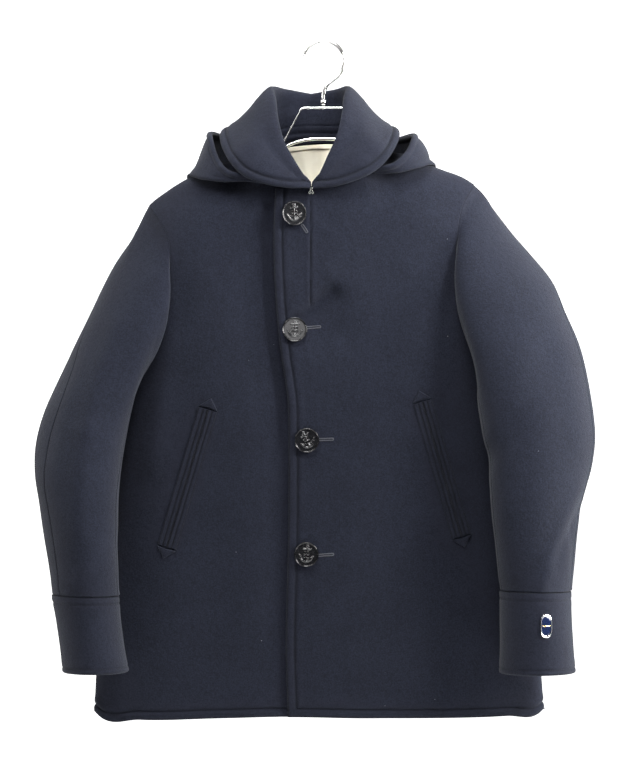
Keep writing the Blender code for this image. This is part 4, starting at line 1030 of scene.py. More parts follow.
def make_fine_hood(side, tree):
    """One half of the hood, which lies folded behind the collar and on the shoulders."""
    places = spaced(HOOD_HALF, 7.0, 1.6, 0)
    first = spaced(HOOD_IN, 7.0, 0, 0)
    last = spaced(HOOD_OUT, 6.0, 0, 4.0, ((120, HOOD_OUT, 2.0),))
    hand = HAND[side]
    sections = []
    for share in places:
        row = curve(HOOD)(float(share))
        seam, fold, rim = (
            np.array([NECK_MIDDLE + hand * u, y, z + lean * hand * u])
            for u, y, z, lean in (
                (*row[0:3], NECK_LEAN), (*row[3:6], row[10]), (*row[6:9], row[11])
            )
        )
        belly = row[9] - (7 if hand < 0 else 1) * math.exp(-(((share - 0.45) / 0.2) ** 2))
        sections.append(fine_folded(seam, fold, rim, 0.22, -row[9] * 0.4, belly, first, 12, last))
    middle = np.array(sections)
    middle[..., 2] -= 2.5 * np.exp(-(((places - 0.42) / 0.2) ** 2))[:, None]
    margin = 2.8 + 0.8 * np.exp(-((middle[..., 1] / 25) ** 2))
    shift = smooth_grid(keep_clear(middle, tree, margin) - middle, 8, False)
    middle = keep_clear(middle + shift, tree, margin * 0.75)
    side_spot, sideways = (len(places) // 2, -4), (hand, 0, 0)
    normal = normals_facing(middle, side_spot, sideways)
    ease = np.clip(1.0 - places, 0, 0.1)[:, None] * 10
    middle = middle + normal * (undulation(middle, 51 if hand < 0 else 52, 1.3) * ease)[..., None]
    normal = normals_facing(middle, side_spot, sideways)
    limit = np.maximum if hand > 0 else np.minimum
    middle[-1, :, 0] = limit(middle[-1, :, 0], NECK_MIDDLE) + hand * 0.05
    normal[-1, :, 0] = 0
    d = from_edges(middle)
    rim = 1 - step_up((d[1] - 5) / 4)
    thick = CLOTH + 1.0 + 3.4 * rim * np.clip(places / 0.12, 0, 1)[:, None]
    outer = middle + normal * (thick / 2)[..., None]
    fields = {"cloth": pair(d[2], d[0]), "hem": pair(d[1], d[2])}
    obj = cloth_wall(f"hood_{side}_cloth", outer, normal, thick, WOOL["hood"],
                     (None, "free", "free", "sewn"),
                     fields, relief=-0.5 * np.exp(-(((d[1] - 9) / 1.5) ** 2)))
    finish_piece(obj, "navy_wool", f"hood_{side}")


def make_fine_lining():
    """The pale lining of the upper back, with small puckers under its top seam."""
    across = np.linspace(-1, 1, 161)
    steps = ((3, 8, 0.5), (8, 11, 0.2), (11, 16, 0.5), (16, 161, 2.5))
    below = np.concatenate([np.arange(*step) for step in steps])
    halves = np.interp(below, [r[0] for r in LINING], [r[1] for r in LINING])
    outer, inner = [], []
    for down, half in zip(below, halves):
        x = NECK_MIDDLE + across * half
        share = np.interp(np.abs(across) * LINING[0][1], (0, 22, 51, 76), (1, 0.8, 0.5, 0.2))
        z = neck["back"](share)[..., 1] + NECK_LEAN * across * half - down
        point = np.stack([x, back_y(x, z), z], -1)
        normal = normals(back_y, x, z, 1)
        fan = (x - NECK_MIDDLE) * (1 + 1.6 * np.clip((down - 9) / 60, 0, 1))
        pleats = 0.9 * np.sin(fan / 7.5 + 0.6) + 0.5 * np.sin(fan / 3.4 + 2) + 0.7 * np.sin(x / 17 + z / 40)
        band = 2.6 * (1 - step_up((down - 8.4 - 0.7 * np.sin(x / 9)) / 1.3))
        slit = 3.2 * math.exp(-(((down - 9.6) / 0.7) ** 2)) * np.exp(-(((x + 22) / 18) ** 2))
        off = CLOTH + 3.4 - pleats * step_up((down - 7) / 8) * 1.2 + band - slit
        outer.append(point - normal * off[:, None])
        inner.append(point - normal * (off + 1.2)[:, None])
    outer, inner = np.array(outer), np.array(inner)
    d = from_edges(outer)
    obj = fine_wall("back_lining_cloth", outer, inner, LINING_CLOTH, {"cloth": pair(d[0], d[2])})
    finish_piece(obj, "pale_lining", "back_lining")


# ---------------------------------------------------------------- pockets


def front_at(outers, side, x, z):
    """The front's own fine surface at (x, z), by looking from the front."""
    return outers[side].ray_cast(Vector((x, -400, z)), Vector((0, 1, 0)))[0].y


def quads_tree(points):
    rows, columns = points.shape[:2]
    return BVHTree.FromPolygons([Vector(p) for p in points.reshape(-1, 3)],
                                grid_quads(rows, columns).tolist())


def raised(name, side, outers, corners, rows, columns, height, look, fields=None):
    """A raised patch on a front: corners are four (x, z) points, height gives how far each point
    (u, v, from 0 to 1) stands off the cloth."""
    u, v = np.meshgrid(rows, columns, indexing="ij")
    a, b, c, d = (np.array(p, float) for p in corners)
    flat = ((1 - u) * (1 - v))[..., None] * a + ((1 - u) * v)[..., None] * b
    flat = flat + (u * v)[..., None] * c + (u * (1 - v))[..., None] * d
    base = np.array([[front_at(outers, side, *p) for p in row] for row in flat])
    top = np.stack([flat[..., 0], base - height(u, v), flat[..., 1]], -1)
    low = np.stack([flat[..., 0], base - 0.25, flat[..., 1]], -1)
    top[..., 1] = np.minimum(top[..., 1], low[..., 1] - 0.02)
    return fine_wall(name, top, low, look, fields)


def bevel_height(u, v, length, width, high, radius):
    """Height of a pad with rounded edges."""
    d = np.minimum.reduce([u * length, (1 - u) * length, v * width, (1 - v) * width])
    inside = np.clip(radius - d, 0, radius)
    return high - radius + np.sqrt(np.maximum(radius**2 - inside**2, 0)) + 0.3


def make_fine_pocket(side, outers):
    (tx, tz), (bx, bz) = POCKETS[side]
    top, bottom = np.array([tx, tz]), np.array([bx, bz])
    length = np.linalg.norm(bottom - top)
    down = (bottom - top) / length
    beside = np.array([-down[1], down[0]])
    for name, way in (("front", beside), ("side", -beside)):
        near, far = WELT_GAP / 2, WELT_GAP / 2 + WELT_WIDE
        corners = (top + down * 1.2 + way * near, top + down * 1.2 + way * far,
                   bottom - down * 1.2 + way * far, bottom - down * 1.2 + way * near)

        def height(u, v):
            pad = bevel_height(u, v, length, WELT_WIDE, WELT_THICK - 0.7, 1.1)
            fold = 0.5 * np.exp(-(((v * WELT_WIDE - 2.2) / 1.8) ** 2))
            groove = 0.9 * np.exp(-(((v * WELT_WIDE - 5.6) / 0.8) ** 2))
            return pad + fold - groove

        rows, columns = spaced(length, 2.5, 1.2, 1.2), spaced(WELT_WIDE, 0.7, 1.1, 1.1)
        uu, vv = np.meshgrid(rows, columns, indexing="ij")
        fields = {"cloth": pair(uu * length, vv * WELT_WIDE), "hem": pair(vv * WELT_WIDE, uu * length)}
        obj = raised(f"welt_{name}_{side}_cloth", side, outers, corners, rows, columns, height,
                     WOOL["welt"], fields)
        finish_piece(obj, "navy_wool", f"welt_{name}_{side}")
    for name, end, sign in (("upper", top, -1), ("lower", bottom, 1)):
        apex = end + down * sign * TAB_HIGH
        left, right = end - beside * TAB_WIDE / 2, end + beside * TAB_WIDE / 2
        notch = end + down * sign * TAB_HIGH * 0.08
        line = [left, apex, right, notch, left]

        spine = notch + (apex - notch) * 0.45
        loops = []
        for k in range(4):
            for t in np.linspace(0, 1, 14, endpoint=False):
                loops.append(line[k] * (1 - t) + line[k + 1] * t)
        loop = np.array(loops)
        rings, lows = [], []
        for s in (0.0, 0.02, 0.06, 0.12, 0.2, 0.3, 0.42, 0.55, 0.7, 0.85, 0.999):
            place = loop * (1 - s) + spine * s
            away = s * 5.5
            lift = 0.3 + TAB_THICK * np.sqrt(np.clip(1 - (1 - min(away / 1.2, 1)) ** 2, 0, 1))
            lift -= 0.25 * math.exp(-(((away - 2.0) / 0.6) ** 2))
            y = np.array([front_at(outers, side, *p) for p in place])
            rings.append(np.stack([place[:, 0], y - lift, place[:, 1]], -1))
            lows.append(np.stack([place[:, 0], y - 0.15, place[:, 1]], -1))
        rings, lows = np.array(rings), np.array(lows)
        around = from_edges(rings)[0]
        fields = {"cloth": pair(rings[..., 0], rings[..., 2]),
                  "hem": pair(np.full(around.shape, NO_STITCHES), around)}
        obj = fine_wall(f"tab_{name}_{side}_cloth", rings, lows, WOOL["welt"], fields, closed=True)
        finish_piece(obj, "navy_wool", f"tab_{name}_{side}")


# ---------------------------------------------------------------- buttonholes and buttons


def make_buttonhole(number, outers):
    """A slit between two thread-wrapped cords, closed round the outer end."""
    ax, az, bx, bz = BUTTONHOLES[number - 1]
    a, b = np.array([ax, az]), np.array([bx, bz])
    length = np.linalg.norm(b - a)
    way = (b - a) / length
    beside = np.array([-way[1], way[0]])
    u = np.arange(-3.0, length + 3.01, 0.3)
    v = np.arange(-3.0, 3.01, 0.25)
    uu, vv = np.meshgrid(u, v, indexing="ij")
    along = np.clip(uu, 0, length - 0.6)
    r = np.hypot(uu - along, vv)
    run = along + np.arctan2(vv, uu - along) * 1.3
    cord = np.sqrt(np.clip(1 - ((r - 1.2) / 0.8) ** 2, 0, 1)) * 0.85
    wrap = 1 + 0.16 * np.sin(run * 2 * math.pi / 0.85)
    high = cord * wrap + 0.12 - 1.6 * np.exp(-((r / 0.5) ** 2)) - 1.2 * step_up((r - 1.9) / 0.5)
    place = a + uu[..., None] * way + vv[..., None] * beside
    y = np.array([[front_at(outers, "right", *p) for p in row] for row in place])
    top = np.stack([place[..., 0], y - high, place[..., 1]], -1)
    low = np.stack([place[..., 0], y + 1.6 + 0 * high, place[..., 1]], -1)
    obj = fine_wall(f"buttonhole_{number}", top, low, THREAD, {"cloth": pair(uu, vv)})
    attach(obj, "root")


def segment(x, y, ax, ay, bx, by):
    return line_distance(x, y, [(ax, ay), (bx, by)])


def anchor_relief(x, y):
    """Height of an old-fashioned anchor with a rope round it, on a button of radius 16."""
    def bar(distance, half, high=0.85):
        return high * np.sqrt(np.clip(1 - (distance / half) ** 2, 0, 1))

    out = bar(segment(x, y, 0, 8.6, 0, -9.4), 0.95)
    out = np.maximum(out, bar(segment(x, y, -4.6, 6.9, 4.6, 7.7), 0.8))
    for ex in (-4.6, 4.6):
        out = np.maximum(out, bar(np.hypot(x - ex, y - 7.3 - ex * 0.09), 1.05))
    out = np.maximum(out, bar(np.abs(np.hypot(x, y - 10.3) - 1.55), 0.55, 0.7))
    angle = np.arctan2(y + 1.4, x)
    arc = np.abs(np.hypot(x, y + 1.4) - 8.0)
    swept = (angle < -0.35) & (angle > -math.pi + 0.35)
    out = np.maximum(out, np.where(swept, bar(arc, 1.0), 0))
    for hand in (-1, 1):
        tip = segment(x, y, hand * 7.5, -4.2, hand * 9.3, -1.0)
        barb = segment(x, y, hand * 9.3, -1.0, hand * 5.9, -3.1)
        out = np.maximum(out, np.maximum(bar(tip, 0.75), bar(barb, 0.6, 0.7)))
    turn = np.linspace(0, 1, 60)
    rope_x = 3.4 * np.sin(turn * 9.2 + 0.4) * (0.55 + 0.6 * turn)
    rope_y = 9.2 - 18.0 * turn
    rope = line_distance(x, y, list(zip(rope_x, rope_y)))
    twist = 1 + 0.2 * np.sin((x + y) * 5.2)
    return np.maximum(out, bar(rope, 0.62, 0.62) * twist)


def make_fine_button(number, outers):
    bx, bz, turn = BUTTONS[number - 1]
    spin = BUTTON_SPIN[number - 1]
    radii = np.concatenate([np.linspace(0.02, 12.8, 46), np.linspace(13.1, 15.9, 16), [16.0]])
    angles = np.linspace(0, 2 * math.pi, 200, endpoint=False)
    r, t = np.meshgrid(radii, angles, indexing="ij")
    x, y = r * np.cos(t), r * np.sin(t)
    c, s = math.cos(math.radians(spin)), math.sin(math.radians(spin))
    fx, fy = x * c + y * s, -x * s + y * c
    anchor = anchor_relief(fx, fy)
    high = np.interp(r, *zip(*BUTTON_FACE)) + anchor * step_up((13.4 - r) / 1.0)
    for hx in (BUTTON_HOLE, -BUTTON_HOLE):
        for hy in (BUTTON_HOLE, -BUTTON_HOLE):
            d = np.hypot(fx - hx, fy - hy)
            high = high - (1.9 + anchor) * step_up((1.25 - d) / 0.3)
            high = high + 0.25 * np.exp(-(((d - 1.6) / 0.35) ** 2))
    under_r = np.array([16.0, 15.6, 14, 11, 9, 5, 0.02])
    under_high = np.interp(under_r, (0, 9, 14, 16), (0.2, 0.0, 0.7, 2.35))
    r = np.concatenate([r, under_r[:, None] * np.ones(len(angles))])
    x, y = r * np.cos(angles), r * np.sin(angles)
    high = np.concatenate([high, under_high[:, None] * np.ones(len(angles))])
    swing = math.radians(turn)
    tube = np.stack([x * math.cos(swing) + high * math.sin(swing),
                     x * math.sin(swing) - high * math.cos(swing), y], -1)
    lean = math.radians(BUTTON_TILT if number == TILTED_BUTTON else 0)
    tube = np.stack([tube[..., 0], tube[..., 1] * math.cos(lean) + tube[..., 2] * math.sin(lean),
                     tube[..., 2] * math.cos(lean) - tube[..., 1] * math.sin(lean)], -1)
    tube += np.array([bx, 0, bz])
    sample = tube[-7:, ::10].reshape(-1, 3)
    tube[..., 1] += min(front_at(outers, "right", p[0], p[2]) - p[1] for p in sample) - 0.3
    obj = tube_mesh(f"button_{number}_turned", tube, BUTTON, 75)
    finish_piece(obj, "black_button", f"button_{number}")


# ---------------------------------------------------------------- metal


def with_lengths(path):
    """How far along a path each of its points is, and the path."""
    path = np.array(path, float)
    return np.concatenate([[0], np.cumsum(np.linalg.norm(np.diff(path, axis=0), axis=1))]), path


def fine_wire(name, path, radius, look, sides=20, steps=6):
    """A round wire on a smooth line through the points."""
    key, path = with_lengths(path)
    run = curve(np.column_stack([key, path]))
    path = run(np.linspace(0, key[-1], (len(path) - 1) * steps + 1))
    way = unit(np.gradient(path, axis=0))
    across = np.cross(way, (0, 1, 0))
    across[np.linalg.norm(across, axis=1) < 0.05] = (1, 0, 0)
    across = unit(across)
    other = np.cross(way, across)
    tips = np.array([0.05, 0.35, 0.7])
    ahead = np.concatenate([-np.sqrt(1 - tips**2), np.zeros(len(path)), np.sqrt(1 - tips[::-1] ** 2)])
    sizes = np.concatenate([tips, np.ones(len(path)), tips[::-1]])
    row = np.clip(np.arange(len(sizes)) - len(tips), 0, len(path) - 1)
    centres = path[row] + way[row] * radius * ahead[:, None]
    angle = 2 * math.pi * np.arange(sides)[None, :, None] / sides
    spokes = np.cos(angle) * across[row][:, None] + np.sin(angle) * other[row][:, None]
    return tube_mesh(name, centres[:, None] + radius * sizes[:, None, None] * spokes, look, 0)


def tube_mesh(name, tube, look, smooth_angle):
    """A mesh from a tube of rings, with its ends closed."""
    return fine_mesh(name, tube.reshape(-1, 3), close_ends(tube), look, None, smooth_angle)


def close_ends(tube):
    """Quads of a tube of rings, with each end ring folded shut."""
    rows, columns = tube.shape[:2]
    quads = [grid_quads(rows, columns, True)]
    half = columns // 2
    for base, flip in ((0, 1), ((rows - 1) * columns, -1)):
        for k in range(half - 1):
            first, last = base + k, base + columns - 1 - k
            quads.append(np.array([[first + 1, first, last, last - 1][::flip]]))
    return np.concatenate(quads)


def fine_strip(name, path, thick, deep, look, round_mm=0.8, steps=6):
    """A flat strip on edge along (x, z) points, with rounded edges."""
    key, path = with_lengths(path)
    places = np.linspace(0, key[-1], 160)
    line = np.stack([np.interp(places, key, column) for column in path.T], -1)
    for _ in range(steps):
        line[1:-1] = line[1:-1] * 0.5 + (line[2:] + line[:-2]) * 0.25
    way = unit(np.gradient(line, axis=0))
    up = np.stack([-way[:, 1], way[:, 0]], -1)
    section = []
    for cy, ct, start in ((1, 1, 0), (-1, 1, 90), (-1, -1, 180), (1, -1, 270)):
        for k in range(4):
            angle = math.radians(start + 30 * k)
            section.append((cy * (deep / 2 - round_mm) + round_mm * math.cos(angle),
                            ct * (thick / 2 - round_mm) + round_mm * math.sin(angle)))
    rings = []
    for (x, z), (ux, uz) in zip(line, up):
        rings.append([(x + ux * t, y, z + uz * t) for y, t in section])
    return tube_mesh(name, np.array(rings), look, 50)


def make_fine_hanger():
    middle_z = -HOOK_RADIUS + HOOK_WIRE / 2
    path = []
    for k in range(23):
        angle = math.radians(160 - 212 * k / 22)
        path.append((HOOK_RADIUS * math.cos(angle), 0, middle_z + HOOK_RADIUS * math.sin(angle)))
    last = path[-1]
    for t, x in ((0.25, 10.5), (0.5, 5.4), (0.75, 2.6), (1, 1.2)):
        path.append((x, 0, last[2] - 18 * t))
    path += [(0, 0, -72.0), (0, 0, -74.6)]
    finish_piece(fine_wire("hook_wire", path, HOOK_WIRE / 2, CHROME), "chrome", "hanger_hook")
    ferrule = fine_turned("ferrule_turned", FERRULE, 40, CHROME)
    finish_piece(ferrule, "chrome", "hanger_ferrule")
    bracket = fine_strip("bracket_strip", BRACKET, BRACKET_THICK, BRACKET_DEEP, CHROME, 0.45)
    finish_piece(bracket, "chrome", "hanger_bracket")
    arm = curve(ARM)
    for side, hand in HAND.items():
        x = np.linspace(0.05, ARM[-1][0], 60)
        z = arm(x)[..., 0]
        line = np.stack([hand * x, z], -1)
        if hand > 0:
            line = line[::-1]
        strip = fine_strip(f"arm_strip_{side}", line, ARM_THICK, ARM_DEEP, CHROME, 0.5, 2)
        finish_piece(strip, "chrome", f"hanger_arm_{side}")


def fine_turned(name, outline, segments, look):
    """A turned shape of quads, from an outline of radius and height that starts and ends on the axis."""
    angle = 2 * math.pi * np.arange(segments) / segments
    radius, height = np.array(outline, float).T[..., None]
    radius = np.maximum(radius, 0.02)
    tube = np.stack([radius * np.cos(angle), radius * np.sin(angle), height + 0 * angle], -1)
    return tube_mesh(name, tube, look, 40)


def make_fine_neck_hook(outers):
    x, z = NECK_MIDDLE - 0.5, -196.5
    face = front_at(outers, "right", x, z)
    eye = []
    for k in range(17):
        angle = math.radians(-60 + 300 * k / 16)
        eye.append((x + 2.8 * math.sin(angle), face - 0.9, z + 5.2 - 2.8 * math.cos(angle)))
    finish_piece(fine_wire("eye_wire", eye, 0.5, NICKEL, 12, 3), "chrome", "neck_eye")
    # a bent wire with a loop at each foot
    turns = [math.radians(a) for a in range(60, -241, -30)]
    half = [(-1.9 + 1.2 * math.cos(t), -3.4 + 1.2 * math.sin(t)) for t in turns]
    half += [(-1.2, -0.8), (-0.9, 1.0), (-0.7, 2.4)]
    line = half + [(-u, w) for u, w in half[::-1]]
    hook = [(x + u, face - 0.9 - 1.3 * float(step_up((w + 1.0) / 3)), z + w) for u, w in line]
    finish_piece(fine_wire("hook_small_wire", hook, 0.5, NICKEL, 12, 2), "chrome", "neck_hook")


def make_fine_pin(tree):
    """A plain oval pin: a blue field with a thin gold bar, in a silver rim."""
    (x0, z0), half_x, half_z = PIN, PIN_WIDE / 2, PIN_HIGH / 2
    angle = np.linspace(0, 2 * math.pi, 96, endpoint=False)
    round_way = np.stack([np.cos(angle), np.sin(angle)], -1)
    shape = np.sign(round_way) * np.abs(round_way) ** 0.7 * (half_x, half_z)
    spot, normal, _, _ = tree.ray_cast(Vector((x0, -400, z0)), Vector((0, 1, 0)))
    slope_x, slope_z = -normal.x / normal.y, -normal.z / normal.y
    hits = [tree.ray_cast(Vector((x0 + x, -400, z0 + z)), Vector((0, 1, 0)))[0].y for x, z in shape]
    lows = [hit - slope_x * x - slope_z * z for hit, (x, z) in zip(hits, shape)]
    seat = min(lows + [spot.y]) - 0.2

    def layers(name, rows, look):
        scale, out = np.array(rows).T[..., None]
        x, z = shape[:, 0] * scale, shape[:, 1] * scale
        tube = np.stack([x0 + x, seat + slope_x * x + slope_z * z - out, z0 + z], -1)
        return tube_mesh(name, tube, look, 55)

    rim = layers("pin_rim", PIN_RIM, CHROME)
    field = layers("pin_field", PIN_FIELD, ENAMEL)
    bar = [(x0 + t, seat + slope_x * t - 1.66 + 0.0054 * t * t, z0) for t in np.linspace(-4.2, 4.2, 9)]
    gold = fine_wire("pin_bar", bar, 0.75, GOLD, 12, 3)
    finish_piece(rim, "blue_enamel", "cuff_pin")
    for obj in (field, gold):
        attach(obj, "root")


def finish_piece(obj, slot, *nodes):
    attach(obj, "root")
    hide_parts(*nodes)
    return obj


# ---------------------------------------------------------------- materials


def put(tree, kind, values=None, **settings):
    """Adds a node; a value that is a socket is linked, any other is set. Returns its output."""
    made = tree.nodes.new(kind)
    for key, value in settings.items():
        setattr(made, key, value)
    for key, value in (values or {}).items():
        if isinstance(value, bpy.types.NodeSocket):
            tree.links.new(value, made.inputs[key])
        else:
            made.inputs[key].default_value = value
    return made.outputs[0]


def maths(tree, operation, *values):
    return put(tree, "ShaderNodeMath", dict(enumerate(values)), operation=operation)


def ramp(tree, value, start, end, low=0.0, high=1.0):
    return put(tree, "ShaderNodeMapRange", {0: value, 1: start, 2: end, 3: low, 4: high},
               interpolation_type="SMOOTHSTEP")


def noise(tree, coords, scale, detail=3.0, rough=0.55, distortion=0.0):
    return put(tree, "ShaderNodeTexNoise", {"Vector": coords, "Scale": scale, "Detail": detail,
                                            "Roughness": rough, "Distortion": distortion})


def blend_colours(tree, share, first, second):
    made = tree.nodes.new("ShaderNodeMix")
    made.data_type = "RGBA"
    for index, value in ((0, share), (6, first), (7, second)):
        if isinstance(value, bpy.types.NodeSocket):
            tree.links.new(value, made.inputs[index])
        else:
            made.inputs[index].default_value = value if index == 0 else (*value, 1)
    return made.outputs[2]


def look(name, roughness, metallic=0.0):
    """A new material, its node tree, its shader and the object's own coordinates."""
    made = bpy.data.materials.new(name)
    made.use_nodes = True
    tree = made.node_tree
    shader = tree.nodes["Principled BSDF"]
    shader.inputs["Roughness"].default_value = roughness
    shader.inputs["Metallic"].default_value = metallic
    return made, tree, shader, tree.nodes.new("ShaderNodeTexCoord").outputs["Object"]


def finish_look(tree, shader, colour, height, distance, strength):
    """Links a look's colour and its bumps, whose distance is in metres."""
    tree.links.new(colour, shader.inputs["Base Color"])
    bump = put(tree, "ShaderNodeBump", {"Height": height, "Distance": distance, "Strength": strength})
    tree.links.new(bump, shader.inputs["Normal"])


def weighted(tree, *parts):
    """The sum of some sockets, each times its weight."""
    total = None
    for socket, weight in parts:
        part = maths(tree, "MULTIPLY", socket, weight)
        total = part if total is None else maths(tree, "ADD", total, part)
    return total


# wool, and for each line of stitches, seam or edge its field, its place and half width in mm, and how dark
# it is. The darkening is painted shade: in the sewn channels, along the seams, in the pocket welts' grooves
# and along the over front's edge
STITCHES_AND_SHADE = {
    "front": (("hem", STITCH_IN["front"], 2.0, 0.5), ("hem", 0.0, 2.6, 0.5), ("facing", 0.0, 1.2, 0.9)),
    "body": (("hem", STITCH_IN["front"], 2.0, 0.5),),
    "cuff": (("edge", 0.0, 1.6, 0.6), ("edge", STITCH_IN["cuff"], 1.5, 0.4),
             ("hem", STITCH_IN["cuff_hem"], 1.5, 0.4)),
    "sleeve": (("edge", 0.0, 1.8, 0.7),),
    "collar": (("hem", STITCH_IN["collar"], 2.2, 0.5),),
    "welt": (("hem", 0.3, 1.5, 0.95), ("hem", 5.6, 1.4, 0.95), ("hem", 11.9, 1.5, 0.8)),
}
WOOL_DARK, WOOL_LIGHT = (0.0028, 0.0033, 0.0063), (0.0073, 0.0086, 0.0147)
# painted shade: the colour the wool darkens to in a sewn channel, a seam line or along an edge
CHANNEL_SHADE = tuple(c * 0.4 for c in WOOL_DARK)  # the wool in a sewn channel
LINT = (0.22, 0.22, 0.24)


def wool_look(part):
    """Felted wool: a short nap, a mottled dye, a few specks of lint, and sewn channels, whose channels,
    seams and edges are darkened with painted shade.
    """
    made, tree, shader, coords = look("wool_" + part, 0.92)
    broad = noise(tree, coords, 22, 2)
    patch = noise(tree, coords, 190, 4, 0.6)
    fibre = noise(tree, coords, 900, 4, 0.7, 1.5)
    felt = noise(tree, coords, 560, 3, 0.7, 0.6)
    blend = weighted(tree, (broad, 0.1), (patch, 0.15), (felt, 0.75))
    colour = blend_colours(tree, ramp(tree, blend, 0.38, 0.62), WOOL_DARK, WOOL_LIGHT)
    specks = tree.nodes.new("ShaderNodeTexVoronoi")
    specks.inputs["Scale"].default_value = 62
    tree.links.new(coords, specks.inputs["Vector"])
    wobble = noise(tree, coords, 700, 1, 0.5)
    pick = put(tree, "ShaderNodeSeparateColor", {0: specks.outputs["Color"]})
    size = ramp(tree, pick, 0.72, 1.0, 0.0, 0.055)
    near = maths(tree, "ADD", specks.outputs["Distance"], maths(tree, "MULTIPLY", wobble, 0.03))
    lint = maths(tree, "LESS_THAN", near, size)
    colour = blend_colours(tree, maths(tree, "MULTIPLY", lint, 0.55), colour, LINT)
    height = weighted(tree, (fibre, 0.3), (patch, 0.6))
    for field, place, wide, deep in STITCHES_AND_SHADE.get(part, ()):
        split = tree.nodes.new("ShaderNodeSeparateXYZ")
        tree.links.new(put(tree, "ShaderNodeUVMap", {}, uv_map=field), split.inputs[0])
        across = maths(tree, "MULTIPLY", split.outputs[0], 1000.0)
        off = maths(tree, "ABSOLUTE", maths(tree, "SUBTRACT", across, place))
        # painted shade: near each line the wool is darkened towards the channel colour, by as much as the
        # table gives
        channel_shade = maths(tree, "MULTIPLY", ramp(tree, off, 0.2, wide, 1.0, 0.0), deep)
        colour = blend_colours(tree, channel_shade, colour, CHANNEL_SHADE)
        turns = maths(tree, "MULTIPLY", split.outputs[1], 2000 * math.pi / THREAD_PITCH)
        thread = ramp(tree, maths(tree, "SINE", turns), -0.75, -0.35)
        dash = maths(tree, "MULTIPLY", thread, ramp(tree, off, 0.25, 0.6, 1.0, 0.0))
        height = maths(tree, "ADD", height, maths(tree, "MULTIPLY", dash, 0.35))
        colour = blend_colours(tree, maths(tree, "MULTIPLY", dash, 0.3), colour, WOOL_LIGHT)
    finish_look(tree, shader, colour, height, 0.001, 1.0)
    shader.inputs["Specular IOR Level"].default_value = 0.08
    shader.inputs["Sheen Weight"].default_value = 0.04
    shader.inputs["Sheen Roughness"].default_value = 0.5
    shader.inputs["Sheen Tint"].default_value = (0.93, 0.96, 1.0, 1)
    return made


def lining_look():
    """Satin lining: a fine close weave and soft wrinkles, with painted shade darkening the wrinkles'
    hollows and lightening their crests.
    """
    made, tree, shader, coords = look("pale_satin", 0.42)
    weave = noise(tree, coords, 1500, 2)
    soft = noise(tree, coords, 38, 3, 0.5, 0.6)
    # painted shade: the noise that bumps the wrinkles also colours their hollows darker and their crests
    # paler
    colour = blend_colours(tree, ramp(tree, soft, 0.3, 0.7), (0.90, 0.84, 0.68), (0.96, 0.91, 0.76))
    finish_look(tree, shader, colour, weighted(tree, (weave, 0.05), (soft, 2.2)), 0.001, 0.8)
    shader.inputs["Sheen Weight"].default_value = 0.2
    return made


def metal_look(name, colour, roughness):
    """Metal with faint smears and fine scratches."""
    made, tree, shader, coords = look(name, roughness, 1.0)
    smear = noise(tree, coords, 120, 4, 0.6)
    rough = ramp(tree, smear, 0.3, 0.7, roughness * 0.7, roughness * 1.5)
    tree.links.new(rough, shader.inputs["Roughness"])
    tint = blend_colours(tree, smear, tuple(c * 0.92 for c in colour), colour)
    finish_look(tree, shader, tint, noise(tree, coords, 1400, 2), 0.00002, 0.6)
    return made


def gloss_look(name, dark, light, roughness, coat=0.0):
    """Moulded plastic or enamel with faint clouding and fine surface marks."""
    made, tree, shader, coords = look(name, roughness)
    cloud = noise(tree, coords, 260, 3)
    rough = ramp(tree, noise(tree, coords, 500, 4), 0.3, 0.7, roughness * 0.8, roughness * 1.35)
    tree.links.new(rough, shader.inputs["Roughness"])
    tint = blend_colours(tree, cloud, dark, light)
    finish_look(tree, shader, tint, noise(tree, coords, 900, 2), 0.00004, 0.7)
    shader.inputs["Coat Weight"].default_value = coat
    shader.inputs["Coat Roughness"].default_value = 0.08
    return made


def thread_look():
    """Dark twisted thread."""
    made, tree, shader, coords = look("buttonhole_thread", 0.6)
    fibre = noise(tree, coords, 1600, 3)
    colour = blend_colours(tree, fibre, (0.005, 0.006, 0.010), (0.013, 0.015, 0.024))
    finish_look(tree, shader, colour, fibre, 0.0002, 0.8)
    return made


WOOL = {part: wool_look(part) for part in ("front", "body", "sleeve", "cuff", "collar", "hood", "welt")}
LINING_CLOTH = lining_look()
THREAD = thread_look()
BUTTON = gloss_look("button_black", (0.0025, 0.0025, 0.003), (0.005, 0.005, 0.006), 0.17)
ENAMEL = gloss_look("enamel_blue", (0.003, 0.006, 0.022), (0.005, 0.010, 0.034), 0.15, 0.4)
CHROME = metal_look("polished_chrome", (0.80, 0.79, 0.77), 0.13)
NICKEL = metal_look("dull_nickel", (0.34, 0.34, 0.32), 0.3)
GOLD = metal_look("gold_plate", (0.90, 0.66, 0.26), 0.2)


# ---------------------------------------------------------------- floor, light and camera


FLOOR = -1.5  # height of the floor in metres
FLOOR_REACH, WALL_FOOT, WALL_BEND = 3.0, 4.5, 2.0  # metres from the middle, and the bend's radius
PAPER_GLOW, WORLD_GLOW = 0.9, 0.04
CAMERA_AWAY, VIEW_HIGH = 4.5, 0.993  # metres from the coat's middle plane, and in the picture there
CAMERA_AT = (-0.0111, -0.4409)  # across and height
SENSOR = 24.0


